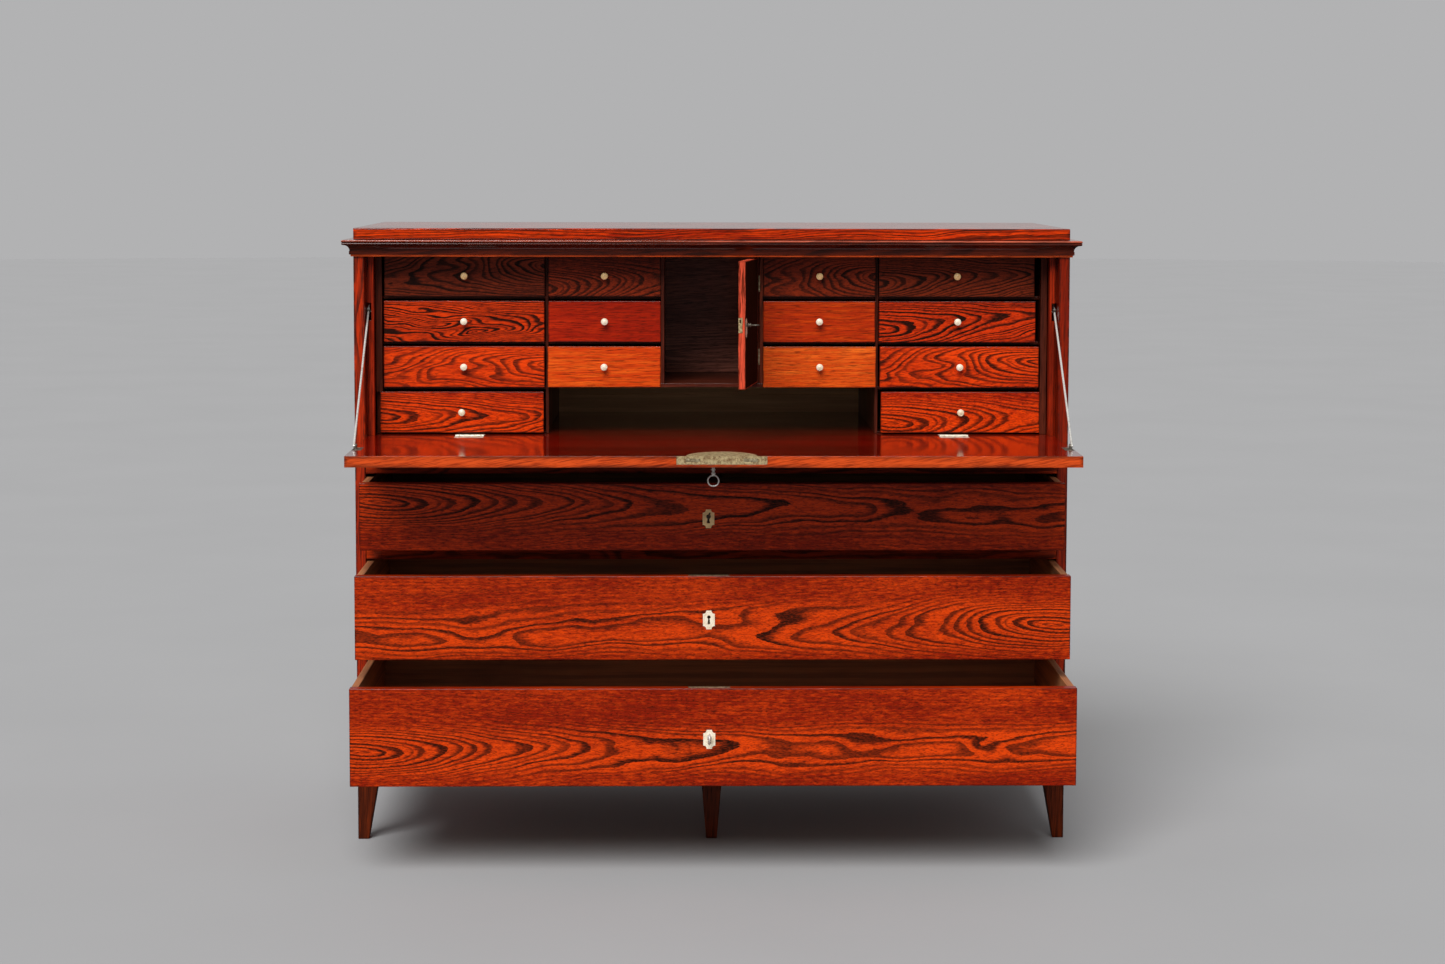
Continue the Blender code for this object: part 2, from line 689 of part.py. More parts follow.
def build_gallery(cabinet):
    """One case of uprights, shelf, dividers and top, opened for its drawers, niche and pigeonhole."""
    front, back = GALLERY_SETBACK, BACK_Y - GAP
    case = cabinet.add("gallery", boxes(((-GALLERY_OUT, front, WRITING_Z + GAP),
                                         (GALLERY_OUT, back, GALLERY_CEILING + GALLERY_TOP_T))),
                       carcass_wood())
    start, end = front - OVERRUN, back + OVERRUN
    floor = WRITING_Z - OVERRUN
    niche_back = front + NICHE_DEPTH
    niche_levels = (SHELF_TOP, GALLERY_CEILING)
    hollows = [((-PARTITION_IN, start, floor), (PARTITION_IN, end, SHELF_LOW)),
               ((-NICHE_HALF, start, niche_levels[0]), (NICHE_HALF, niche_back, niche_levels[1])),
               ((-NICHE_HALF, niche_back + NICHE_BACK_T, niche_levels[0]),
                (NICHE_HALF, end, niche_levels[1]))]
    for row in range(ROWS):
        low = row_level(row) - GAP
        high = GALLERY_CEILING if row == 0 else row_level(row - 1) - GAP - DIVIDER_T
        hollows += mirrored(((PARTITION_OUT, start, low), (COLUMN_OUT, end, high)))
        if row < ROWS - 1:
            inner_low = max(low, SHELF_TOP)
            hollows += mirrored(((COLUMN_IN, start, inner_low), (PARTITION_IN, end, high)))
    cabinet.cut(case, boxes(*hollows))
    notch = row_level(ROWS - 1) + ROW_H + GAP
    lapped = small_edges("outer", "left", ROWS - 1)[-1] + GAP
    recess = bmesh.new()
    for sign in (-1, 1):
        outline = [(COLUMN_IN, GALLERY_CEILING), (COLUMN_IN, SHELF_LOW - OVERRUN),
                   (PARTITION_IN, SHELF_LOW - OVERRUN), (PARTITION_IN, floor)]
        if sign < 0:
            outline += [(lapped, floor), (lapped, notch), (COLUMN_OUT, notch)]
        else:
            outline.append((COLUMN_OUT, floor))
        outline.append((COLUMN_OUT, GALLERY_CEILING))
        prism(recess, [(sign * x, z) for x, z in outline], "Y", start, front + PARTITION_RECESS)
    cabinet.cut(case, recess)
    deep = front + DIVIDER_RECESS
    cabinet.cut(case, boxes(*mirrored(
        ((PARTITION_OUT, start, floor), (COLUMN_OUT, deep, GALLERY_CEILING)),
        ((COLUMN_IN, start, SHELF_TOP), (PARTITION_IN, deep, GALLERY_CEILING)))))
    build_lining_frame(cabinet)


def build_lining_frame(cabinet):
    """The case top and the strips beside the gallery, slotted for the guides of the stays."""
    inside, lean_in = INSIDE - GAP, GALLERY_OUT + GAP
    back = BACK_Y - GAP
    top = CASE_CEILING + CASE_TOP_T
    strips = bmesh.new()
    rebate = inside - GROOVE_W
    edge, rear = LINING_SETBACK, LINING_SETBACK + LINING_DEPTH
    for sign in (-1, 1):
        outline = [(lean_in, edge), (rebate, edge), (rebate, edge + GROOVE_DEPTH),
                   (inside, edge + GROOVE_DEPTH), (inside, rear), (lean_in, rear)]
        prism(strips, [(sign * x, y) for x, y in outline], "Z", WRITING_Z + GAP,
              CASE_CEILING + CASE_TOP_T / 2)
    frame = cabinet.add("lining_frame", boxes(((-inside, 0, CASE_CEILING), (inside, back, top))),
                        carcass_wood())
    cabinet.join(frame, strips)
    guide = guide_point()
    cabinet.cut(frame, boxes(*mirrored((
        (lean_in + SLOT_WALL, edge - OVERRUN, guide.z - SLOT_LOW),
        (INSIDE, rear + OVERRUN, guide.z + SLOT_HIGH)))))
    bores = bmesh.new()
    for sign in (-1, 1):
        cylinder(bores, (sign * (lean_in - OVERRUN), guide.y, guide.z),
                 (sign * (lean_in + SLOT_WALL + OVERRUN), guide.y, guide.z),
                 GUIDE_PIN_R + RUNNING, FINE_STEPS)
    cabinet.cut(frame, bores)


def small_edges(column, side, row):
    """Inner and outer distance from the middle of the front of a small drawer."""
    if column == "outer":
        inner, outer = PARTITION_OUT, COLUMN_OUT
        trims = OUTER_TRIM_SHARES[side][row]
    else:
        inner, outer = COLUMN_IN, PARTITION_IN
        trims = INNER_TRIM_SHARES[row]
    return inner + trims[0] * TRIM, outer - trims[1] * TRIM


def build_small_drawers(cabinet):
    """Fourteen small drawers, each a front, two sides, a back, a bottom and a turned knob."""
    for column, rows in (("outer", ROWS), ("inner", ROWS - 1)):
        for side, sign in (("left", -1), ("right", 1)):
            for row in range(rows):
                build_small_drawer(cabinet, column, side, sign, row)


def build_small_drawer(cabinet, column, side, sign, row):
    name = f"small_drawer_{column}_{side}_{row + 1}"
    body = Body(f"slide_{name}", cabinet)
    inner, outer = small_edges(column, side, row)
    low = row_level(row)
    high = low + ROW_H
    front = GALLERY_SETBACK
    behind, end = front + SMALL_FRONT_T, front + SMALL_LENGTH
    opening = (PARTITION_OUT, COLUMN_OUT) if column == "outer" else (COLUMN_IN, PARTITION_IN)
    box_in = max(inner, opening[0]) + SMALL_INSET
    box_out = min(outer, opening[1]) - SMALL_INSET
    floor = max(low, SHELF_TOP + GAP) if column == "inner" else low
    rim = high - SMALL_SIDE_DROP
    wall = SMALL_BOARD_T

    def placed(x_low, x_high, y_low, y_high, z_low, z_high):
        near, far = sorted((sign * x_low, sign * x_high))
        return (near, y_low, z_low), (far, y_high, z_high)

    node = body.add(name, boxes(placed(inner, outer, front, behind, low, high)), front_wood())
    body.join(node, boxes(placed(box_in, box_out, behind - OVERRUN, end, floor, rim)))
    body.cut(node, boxes(placed(box_in + wall, box_out - wall, behind, end - wall,
                                floor + SMALL_BASE_T, rim + OVERRUN)))
    knob = bmesh.new()
    centre = (sign * (inner + outer) / 2, front + OVERRUN, (low + high) / 2)
    turned(knob, knob_profile(OVERRUN), centre, (0, -1, 0), FINE_STEPS)
    body.join(node, knob)


def knob_profile(root):
    """Profile of a turned knob: spigot, waisted neck, collar and gently domed button."""
    neck, collar, edge, dome = (root + KNOB_OUT * share for share in KNOB_ALONG_SHARES)
    return [(0, KNOB_NECK_R), (neck, KNOB_NECK_R), (collar, KNOB_R), (edge, KNOB_R),
            (dome, KNOB_R * KNOB_DOME_SHARE), (root + KNOB_OUT, 0)]


def hinge_pocket(sign, side):
    """Recess for one leaf and its knuckles, in the fixed floor (side 1) or in the fall (side -1)."""
    depth, clear = FALL_LEAF_T + GAP, FALL_KNUCKLE_R + GAP
    outline = [(-OVERRUN, OVERRUN), (-OVERRUN, -clear), (clear, -clear), (clear, -depth),
               (FALL_LEAF_W + GAP, -depth), (FALL_LEAF_W + GAP, OVERRUN)]
    middle, half = sign * FALL_HINGE_X, FALL_HINGE_LEN / 2 + GAP
    return extruded([(AXIS_Y + side * y, WRITING_Z + z) for y, z in outline], "X",
                    middle - half, middle + half)


def leaf_outline(centre, half, width, knuckle, side, outer):
    """Plan of a hinge leaf whose tabs reach its knuckles.

    The points are (along the pin, away from the pin). outer is true for the leaf that carries
    the two end knuckles.
    """
    tab = half * KNUCKLE_SHARE
    set_back = knuckle + GAP
    near = knuckle / 2
    if outer:
        points = [(-half, near), (-tab - GAP, near), (-tab - GAP, set_back), (tab + GAP, set_back),
                  (tab + GAP, near), (half, near), (half, width), (-half, width)]
    else:
        points = [(-half, set_back), (-tab, set_back), (-tab, near), (tab, near), (tab, set_back),
                  (half, set_back), (half, width), (-half, width)]
    return [(centre + along, side * away) for along, away in points]


def build_fall(cabinet):
    """The fall, lying open, with its lock, key, hinges and the ears of its stays."""
    pivot = (0, AXIS_Y, WRITING_Z)
    body = Body("fall_hinge", cabinet, at=pivot)
    half = INSIDE - FALL_SIDE_GAP
    edge_y = AXIS_Y - FALL_LEN
    lip_r = FALL_T - GAP
    outline = [(edge_y, WRITING_Z), (edge_y, WRITING_Z - FALL_T), (AXIS_Y, WRITING_Z - FALL_T)]
    ceiling = NOSE_T + GAP
    last = math.acos(ceiling / lip_r)
    for step in range(LIP_STEPS + 1):
        angle = last * step / LIP_STEPS
        outline.append((AXIS_Y + lip_r * math.sin(angle), WRITING_Z - lip_r * math.cos(angle)))
    outline.append((AXIS_Y - GAP, WRITING_Z - ceiling))
    outline.append((AXIS_Y - GAP, WRITING_Z))
    panel = body.add("fall_panel", extruded(outline, "X", -half, half), carcass_wood())
    for sign in (-1, 1):
        body.cut(panel, hinge_pocket(sign, -1))
    build_fall_lock(body, panel, edge_y)
    build_ears(body, panel)
    build_fall_hinges(cabinet, body)


def fall_lock_outline(edge_y, grow=0.0):
    """Plan of the fall's lock: a straight plate on the edge and an arched case behind it."""
    middle = LOCK_SHIFT
    start = edge_y - (OVERRUN if grow else 0)
    shoulder = edge_y + LOCK_PLATE_T + grow
    half_chord = LOCK_CHORD / 2 + grow
    sagitta = LOCK_SAGITTA + grow
    points = [(middle - LOCK_PLATE_W / 2 - grow, start), (middle + LOCK_PLATE_W / 2 + grow, start),
              (middle + LOCK_PLATE_W / 2 + grow, shoulder)]
    for step in range(LOCK_ARC_STEPS + 1):
        angle = math.pi * step / LOCK_ARC_STEPS
        points.append((middle + half_chord * math.cos(angle), shoulder + sagitta * math.sin(angle)))
    points.append((middle - LOCK_PLATE_W / 2 - grow, shoulder))
    return points


def build_fall_lock(body, panel, edge_y):
    """The lock let into the fall's edge with its bolt slots, the escutcheon and the hanging key."""
    low = WRITING_Z - LOCK_PLATE_H
    under = WRITING_Z - FALL_T
    key_y = edge_y + FALL_KEYHOLE_IN
    body.cut(panel, extruded(fall_lock_outline(edge_y, GAP), "Z", low - GAP, WRITING_Z + OVERRUN))
    lock = body.add("fall_lock", extruded(fall_lock_outline(edge_y), "Z", low, WRITING_Z), brass())
    bolt_low = low + (LOCK_PLATE_H - FALL_BOLT_H) / 2
    places = [LOCK_SHIFT + sign * FALL_BOLT_X for sign in (-1, 1)]
    body.cut(lock, boxes(*[((middle - FALL_BOLT_W / 2, edge_y - OVERRUN, bolt_low),
                            (middle + FALL_BOLT_W / 2, edge_y + FALL_BOLT_LEN,
                             bolt_low + FALL_BOLT_H)) for middle in places]))
    ward = bmesh.new()
    cylinder(ward, (FALL_KEY_X, key_y, low - OVERRUN), (FALL_KEY_X, key_y, low + WARD_DEPTH),
             WARD_R)
    body.cut(lock, ward)
    badge_level = under + ESCUTCHEON_T
    flipped = [(x, key_y - (z - key_y)) for x, z in escutcheon_outline(FALL_KEY_X, key_y)]
    flipped_pocket = [(x, key_y - (z - key_y))
                      for x, z in escutcheon_outline(FALL_KEY_X, key_y, GAP)]
    hole = [(x, key_y - (z - key_y)) for x, z in keyhole(FALL_KEY_X, key_y)]
    body.cut(panel, extruded(flipped_pocket, "Z", under - OVERRUN, badge_level + GAP))
    body.cut(panel, extruded(hole, "Z", under - OVERRUN, low))
    badge = body.add("fall_escutcheon", extruded(flipped, "Z", under, badge_level), bone())
    body.cut(badge, extruded(hole, "Z", under - OVERRUN, badge_level + OVERRUN))
    key = Body("turn_fall_key", body, at=(FALL_KEY_X, key_y, under))
    into = low - under + WARD_DEPTH - GAP * 2
    build_key(key, "fall_key", (0, 0, -1), (0, 1, 0), FALL_KEY_OUT, into)


def pin_profile(half, middle_half, knuckle, pin):
    """Profile of two end knuckles with the pin bare between them."""
    step = half - middle_half - GAP
    return [(0, knuckle), (step, knuckle), (step, pin), (2 * half - step, pin),
            (2 * half - step, knuckle), (2 * half, knuckle)]


def build_fall_hinges(cabinet, fall):
    """Two butt hinges with a pin through three knuckles."""
    half = FALL_HINGE_LEN / 2
    middle_half = half * KNUCKLE_SHARE
    level = WRITING_Z - FALL_LEAF_T
    for side_name, sign in (("left", -1), ("right", 1)):
        middle = sign * FALL_HINGE_X
        start = (middle - half, AXIS_Y, WRITING_Z)
        plan = leaf_outline(middle, half, FALL_LEAF_W, FALL_KNUCKLE_R, 1, True)
        leaf = cabinet.add(f"fall_hinge_fixed_{side_name}",
                           extruded([(x, AXIS_Y + y) for x, y in plan], "Z", level, WRITING_Z), brass())
        pin = bmesh.new()
        turned(pin, pin_profile(half, middle_half, FALL_KNUCKLE_R, FALL_PIN_R), start, (1, 0, 0),
               FINE_STEPS)
        cabinet.join(leaf, pin)
        plan = leaf_outline(middle, half, FALL_LEAF_W, FALL_KNUCKLE_R, -1, False)
        leaf = fall.add(f"fall_hinge_moving_{side_name}",
                        extruded([(x, AXIS_Y + y) for x, y in plan], "Z", level, WRITING_Z), brass())
        knuckle, bore = bmesh.new(), bmesh.new()
        cylinder(knuckle, (middle - middle_half, AXIS_Y, WRITING_Z),
                 (middle + middle_half, AXIS_Y, WRITING_Z), FALL_KNUCKLE_R, FINE_STEPS)
        cylinder(bore, (middle - half, AXIS_Y, WRITING_Z), (middle + half, AXIS_Y, WRITING_Z),
                 FALL_PIN_R + RUNNING, FINE_STEPS)
        fall.join(leaf, knuckle)
        fall.cut(leaf, bore)


def ear_point():
    """Centre of the pin that joins a stay to the fall, in the YZ plane."""
    along = math.sqrt(STAY_REACH ** 2 - EAR_HEIGHT ** 2)
    return Vector((0, AXIS_Y - along, WRITING_Z + EAR_HEIGHT))


def guide_point():
    """Centre of the swivelling guide, as far from the fall's axis as the ear is."""
    rise = math.sqrt(STAY_REACH ** 2 - GUIDE_BACK ** 2)
    return Vector((0, AXIS_Y + GUIDE_BACK, WRITING_Z + rise))


def build_ears(body, panel):
    """A plate let into each end of the fall, with an upright ear and a pin for the stay."""
    ear = ear_point()
    half = INSIDE - FALL_SIDE_GAP
    inner = STAY_X - EAR_EYE_T / 2 - GAP - EAR_T
    plate_out, half_len = half - GAP * 2, EAR_PLATE_LEN / 2
    plate_in, seat = plate_out - EAR_PLATE_W, WRITING_Z - FALL_LEAF_T
    outline = [(ear.y - EAR_R, seat + FALL_LEAF_T / 2)]
    for step in range(EAR_STEPS + 1):
        angle = math.pi - math.pi * step / EAR_STEPS
        outline.append((ear.y + EAR_R * math.cos(angle), ear.z + EAR_R * math.sin(angle)))
    outline.append((ear.y + EAR_R, seat + FALL_LEAF_T / 2))
    for side, sign in (("left", -1), ("right", 1)):
        near, far = sorted((sign * plate_in, sign * plate_out))
        node = body.add(f"stay_ear_{side}", boxes(((near, ear.y - half_len, seat),
                                                   (far, ear.y + half_len, WRITING_Z))), steel())
        body.join(node, extruded(outline, "X", sign * inner, sign * (inner + EAR_T)))
        pin = bmesh.new()
        cylinder(pin, (sign * (inner + EAR_T / 2), ear.y, ear.z),
                 (sign * (STAY_X + EAR_EYE_T / 2), ear.y, ear.z), EAR_PIN_R, FINE_STEPS)
        body.join(node, pin)
    body.cut(panel, boxes(*mirrored(
        ((plate_in - GAP, ear.y - half_len - GAP, seat - GAP),
         (half + OVERRUN, ear.y + half_len + GAP, WRITING_Z + OVERRUN)))))


def build_stays(cabinet):
    """A sliding rod each side, pinned to the fall and led through a swivelling guide."""
    ear, guide = ear_point(), guide_point()
    run = guide - ear
    elevation = math.atan2(run.z, run.y)
    length = run.length + STAY_TAIL
    for side, sign in (("left", -1), ("right", 1)):
        x = sign * STAY_X
        rod = Body(f"stay_{side}", cabinet, at=(x, ear.y, ear.z), pivot=(0, 0, 0),
                   turn=(elevation, 0, 0))
        mesh = bmesh.new()
        collar = run.length + GUIDE_LEN / 2 + GAP * 2
        turned(mesh, [(EAR_EYE_R * ROD_ROOT_SHARE, STAY_ROD_R), (collar, STAY_ROD_R), (collar, COLLAR_R),
                      (collar + COLLAR_LEN, COLLAR_R), (collar + COLLAR_LEN, STAY_ROD_R),
                      (length, STAY_ROD_R)], (0, 0, 0), (0, 1, 0), FINE_STEPS)
        node = rod.add(f"stay_rod_{side}", mesh, steel(), smooth=True)
        eye, bore = bmesh.new(), bmesh.new()
        cylinder(eye, (-EAR_EYE_T / 2, 0, 0), (EAR_EYE_T / 2, 0, 0), EAR_EYE_R)
        cylinder(bore, (-EAR_EYE_T, 0, 0), (EAR_EYE_T, 0, 0), EAR_PIN_R + RUNNING, FINE_STEPS)
        rod.join(node, eye)
        rod.cut(node, bore)

        swivel = Body(f"guide_{side}", cabinet, at=(x, guide.y, guide.z), pivot=(0, 0, 0),
                      turn=(elevation, 0, 0))
        mesh = bmesh.new()
        cylinder(mesh, (0, -GUIDE_LEN / 2, 0), (0, GUIDE_LEN / 2, 0), GUIDE_R)
        node = swivel.add(f"stay_guide_{side}", mesh, steel(), smooth=True)
        pin, bore = bmesh.new(), bmesh.new()
        pin_end = STAY_X - GALLERY_OUT - GAP * 2
        pin_start = (STAY_ROD_R + GUIDE_R) / 2 + GAP
        cylinder(pin, (-sign * pin_start, 0, 0), (-sign * pin_end, 0, 0), GUIDE_PIN_R, FINE_STEPS)
        cylinder(bore, (0, -GUIDE_LEN, 0), (0, GUIDE_LEN, 0), STAY_ROD_R + RUNNING)
        swivel.join(node, pin)
        swivel.cut(node, bore)


def build_door(cabinet):
    """The little cupboard door, its hinges, lock, escutcheon and key."""
    front = GALLERY_SETBACK
    right = NICHE_HALF - DOOR_HINGE_GAP
    left = DOOR_LOCK_GAP - NICHE_HALF
    low = SHELF_TOP + DOOR_FOOT_GAP
    high = GALLERY_CEILING - DOOR_HEAD_GAP
    axis_x = NICHE_HALF - DOOR_HINGE_GAP / 2
    axis_y = front - DOOR_KNUCKLE_R - GAP * 2
    body = Body("door_hinge", cabinet, at=(axis_x, axis_y, 0),
                turn=(0, 0, math.radians(DOOR_ANGLE)))
    panel = body.add("door_panel", boxes(((left, front, low), (right, front + DOOR_T, high))),
                     front_wood())
    centre_z = (low + high) / 2
    key_x = left + DOOR_KEYHOLE_IN
    lock_low, lock_high = centre_z - DOOR_LOCK_H / 2, centre_z + DOOR_LOCK_H / 2
    lock_y = front + DOOR_T - DOOR_LOCK_T
    body.cut(panel, boxes(((left - OVERRUN, lock_y - GAP, lock_low - GAP),
                           (left + DOOR_LOCK_W + GAP, front + DOOR_T + OVERRUN, lock_high + GAP))))
    body.cut(panel, extruded(escutcheon_outline(key_x, centre_z, GAP), "Y",
                             front - OVERRUN, front + ESCUTCHEON_T + GAP))
    body.cut(panel, extruded(keyhole(key_x, centre_z), "Y", front, lock_y))
    lock = body.add("door_lock", boxes(((left, lock_y, lock_low),
                                        (left + DOOR_LOCK_W, front + DOOR_T, lock_high))), brass())
    bolt_y = front + DOOR_T - DOOR_LOCK_T / 2 - DOOR_BOLT_T / 2
    bolt_low = centre_z + KEYHOLE_R + GAP
    body.cut(lock, boxes(((left - OVERRUN, bolt_y, bolt_low),
                          (left + DOOR_BOLT_LEN, bolt_y + DOOR_BOLT_T, bolt_low + DOOR_BOLT_H))))
    ward = bmesh.new()
    ward_depth = DOOR_LOCK_T / 2
    cylinder(ward, (key_x, lock_y - OVERRUN, centre_z), (key_x, lock_y + ward_depth, centre_z),
             KEY_SHAFT_R + RUNNING * 2, FINE_STEPS)
    body.cut(lock, ward)
    badge = body.add("door_escutcheon", extruded(escutcheon_outline(key_x, centre_z), "Y",
                                                 front, front + ESCUTCHEON_T), bone())
    body.cut(badge, extruded(keyhole(key_x, centre_z), "Y",
                             front - OVERRUN, front + ESCUTCHEON_T + OVERRUN))
    key = Body("turn_door_key", body, at=(key_x, front, centre_z))
    build_door_key(key, lock_y - front + ward_depth - GAP * 2)
    build_door_hinges(cabinet, axis_x, axis_y, low, high)


def build_door_key(body, into):
    """The cupboard key: a short pipe with a wire bow."""
    start = body.pivot
    shaft_end = DOOR_KEY_OUT - 2 * KEY_BOW_R
    mesh = bmesh.new()
    turned(mesh, [(-into, KEY_SHAFT_R), (shaft_end - KEY_COLLAR_LEN / 2, KEY_SHAFT_R),
                  (shaft_end - KEY_COLLAR_LEN / 2, KEY_COLLAR_R), (shaft_end, KEY_COLLAR_R),
                  (shaft_end + KEY_WIRE_R, KEY_SHAFT_R)], start, (0, -1, 0), FINE_STEPS)
    bow = bmesh.new()
    ring(bow, start + Vector((0, -shaft_end - KEY_BOW_R + KEY_WIRE_R / 2, 0)), (1, 0, 0),
         KEY_BOW_R - KEY_WIRE_R, KEY_WIRE_R)
    node = body.add("door_key", mesh, steel(), smooth=True)
    body.join(node, bow)


def build_door_hinges(cabinet, axis_x, axis_y, low, high):
    """The fixed leaves of two small butts, with their pins, on the right of the niche."""
    half = DOOR_HINGE_LEN / 2
    face = NICHE_HALF - GAP
    profile = pin_profile(half, half * KNUCKLE_SHARE, DOOR_KNUCKLE_R, DOOR_PIN_R)
    for name, share in DOOR_HINGE_SHARES.items():
        level = low + half + (high - low - DOOR_HINGE_LEN) * share
        plan = leaf_outline(level, half, DOOR_LEAF_W, DOOR_KNUCKLE_R, 1, True)
        leaf = cabinet.add(f"door_hinge_fixed_{name}",
                           extruded([(axis_y + away, along) for along, away in plan], "X",
                                    face - DOOR_LEAF_T, face), brass())
        pin = bmesh.new()
        turned(pin, profile, (axis_x, axis_y, level - half), (0, 0, 1), FINE_STEPS)
        cabinet.join(leaf, pin)


def main():
    clear_scene()
    cabinet = Body("cabinet", at=(0, -FOOT_SOLE / 2, 0), pivot=(0, 0, 0))
    build_carcass(cabinet)
    build_long_drawers(cabinet)
    build_gallery(cabinet)
    build_small_drawers(cabinet)
    build_fall(cabinet)
    build_stays(cabinet)
    build_door(cabinet)
    bpy.context.view_layer.update()


main()
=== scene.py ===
import json
import logging
import math
from dataclasses import Field, dataclass, field
from enum import Enum
from typing import Dict, Iterable, List, Optional, Sequence, Tuple, Union

import bmesh
import bpy
from mathutils import Matrix, Vector

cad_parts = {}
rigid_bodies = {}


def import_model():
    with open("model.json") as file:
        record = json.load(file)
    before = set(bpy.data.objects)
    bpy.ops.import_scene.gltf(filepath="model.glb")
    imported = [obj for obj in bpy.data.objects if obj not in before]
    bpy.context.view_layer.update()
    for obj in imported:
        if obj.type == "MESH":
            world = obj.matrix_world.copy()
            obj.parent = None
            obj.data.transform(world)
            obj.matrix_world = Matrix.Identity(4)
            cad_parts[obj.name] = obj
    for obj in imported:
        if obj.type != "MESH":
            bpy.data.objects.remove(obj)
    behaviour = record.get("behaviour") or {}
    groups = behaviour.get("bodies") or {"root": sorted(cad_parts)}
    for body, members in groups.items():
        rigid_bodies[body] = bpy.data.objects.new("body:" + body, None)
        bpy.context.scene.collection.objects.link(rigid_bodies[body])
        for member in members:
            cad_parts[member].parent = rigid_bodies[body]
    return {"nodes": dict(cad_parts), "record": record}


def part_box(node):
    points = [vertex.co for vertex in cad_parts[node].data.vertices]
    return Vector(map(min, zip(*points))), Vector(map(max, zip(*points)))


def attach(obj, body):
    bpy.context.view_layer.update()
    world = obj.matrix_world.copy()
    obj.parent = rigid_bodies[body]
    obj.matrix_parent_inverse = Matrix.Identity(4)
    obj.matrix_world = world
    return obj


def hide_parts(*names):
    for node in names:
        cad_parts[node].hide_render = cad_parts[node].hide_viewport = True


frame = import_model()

LOG = logging.getLogger("secretaire")
Pair = Tuple[float, float]
Triple = Tuple[float, float, float]
Colour = Triple
ORIGIN: Triple = (0.0, 0.0, 0.0)
OUTWARDS: Triple = (0.0, -1.0, 0.0)
DOWN: Triple = (0.0, 0.0, -1.0)
QUARTER = math.pi / 2

# How far a cutter runs past the face that it starts from, and the play between pieces
OVERRUN = 0.002
GAP = 0.0003
# A level above the whole piece of furniture
SKY = 9.0


class Axis(Enum):
    """The direction that wood fibres, or an extrusion, run in."""

    X = "X"
    Y = "Y"
    Z = "Z"


class Side(Enum):
    """The side of the case that a fitting sits on."""

    LEFT = "left"
    RIGHT = "right"

    @property
    def sign(self) -> int:
        """Returns the sign of X on this side."""
        return 1 if self is Side.RIGHT else -1


def srgb(red: int, green: int, blue: int) -> Colour:
    """Turns a colour as seen on a screen, 0 to 255, into the linear values of a shader.

    Args:
        red: Red as seen.
        green: Green as seen.
        blue: Blue as seen.

    Returns:
        The linear colour.
    """
    def linear(level: int) -> float:
        """Returns one channel without its display curve."""
        share = level / 255
        return share / 12.92 if share <= 0.04045 else ((share + 0.055) / 1.055) ** 2.4

    return linear(red), linear(green), linear(blue)


@dataclass(frozen=True)
class Box:
    """A box between two corners, usually that of a CAD node."""

    lo: Vector
    hi: Vector

    @classmethod
    def of(cls, node: str) -> "Box":
        """Returns the box of a CAD node."""
        lo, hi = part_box(node)
        return cls(Vector(lo), Vector(hi))

    @property
    def centre(self) -> Vector:
        """Returns the middle of the box."""
        return (self.lo + self.hi) / 2


def joint(name: str, key: str = "pos_m") -> Vector:
    """Returns the point that a joint turns about, or its axis under the key "axis"."""
    joints = frame["record"]["behaviour"]["joints"]
    return Vector(next(entry[key] for entry in joints if entry["name"] == name))


# Nodes

class Value:
    """A number that varies over a surface, written as an expression."""

    def __init__(self, tree: "Tree", socket: bpy.types.NodeSocket) -> None:
        """Wraps one output socket of a tree's nodes."""
        self.tree = tree
        self.socket = socket

    def _math(self, operation: str, *numbers: "Number") -> "Value":
        """Returns the result of a Math node."""
        return self.tree.value("ShaderNodeMath", {"operation": operation}, dict(enumerate(numbers)))

    def __add__(self, other: "Number") -> "Value":
        """Returns the sum."""
        return self._math("ADD", self, other)

    def __radd__(self, other: float) -> "Value":
        """Returns the sum."""
        return self._math("ADD", other, self)

    def __sub__(self, other: "Number") -> "Value":
        """Returns the difference."""
        return self._math("SUBTRACT", self, other)

    def __rsub__(self, other: float) -> "Value":
        """Returns the difference from a number."""
        return self._math("SUBTRACT", other, self)

    def __mul__(self, other: "Number") -> "Value":
        """Returns the product."""
        return self._math("MULTIPLY", self, other)

    def __rmul__(self, other: float) -> "Value":
        """Returns the product."""
        return self._math("MULTIPLY", other, self)

    def __truediv__(self, other: "Number") -> "Value":
        """Returns the quotient."""
        return self._math("DIVIDE", self, other)

    def __rtruediv__(self, other: float) -> "Value":
        """Returns a number divided by this value."""
        return self._math("DIVIDE", other, self)

    def root(self) -> "Value":
        """Returns the square root."""
        return self._math("SQRT", self)

    def fraction(self) -> "Value":
        """Returns what is left above the whole number."""
        return self._math("FRACT", self)

    def size(self) -> "Value":
        """Returns the value without its sign."""
        return self._math("ABSOLUTE", self)

    def least(self, other: "Number") -> "Value":
        """Returns the smaller of the two."""
        return self._math("MINIMUM", self, other)

    def most(self, other: "Number") -> "Value":
        """Returns the larger of the two."""
        return self._math("MAXIMUM", self, other)

    def levelled(self) -> "Value":
        """Returns the value bent smoothly so that it stays between -1 and 1."""
        return self._math("TANH", self)

    def share(self, swing: float) -> "Value":
        """Returns a mask that only takes off that much where this one is 0."""
        return self * swing + (1 - swing)

    def rise(self, start: float, end: float) -> "Value":
        """Returns a soft step from 0 at start to 1 at end, which may lie below start."""
        return self.tree.value("ShaderNodeMapRange", {"interpolation_type": "SMOOTHSTEP"},
                               {"Value": self, "From Min": start, "From Max": end})


Number = Union[Value, float]
Source = Union[Value, bpy.types.NodeSocket, float, bool, Triple]


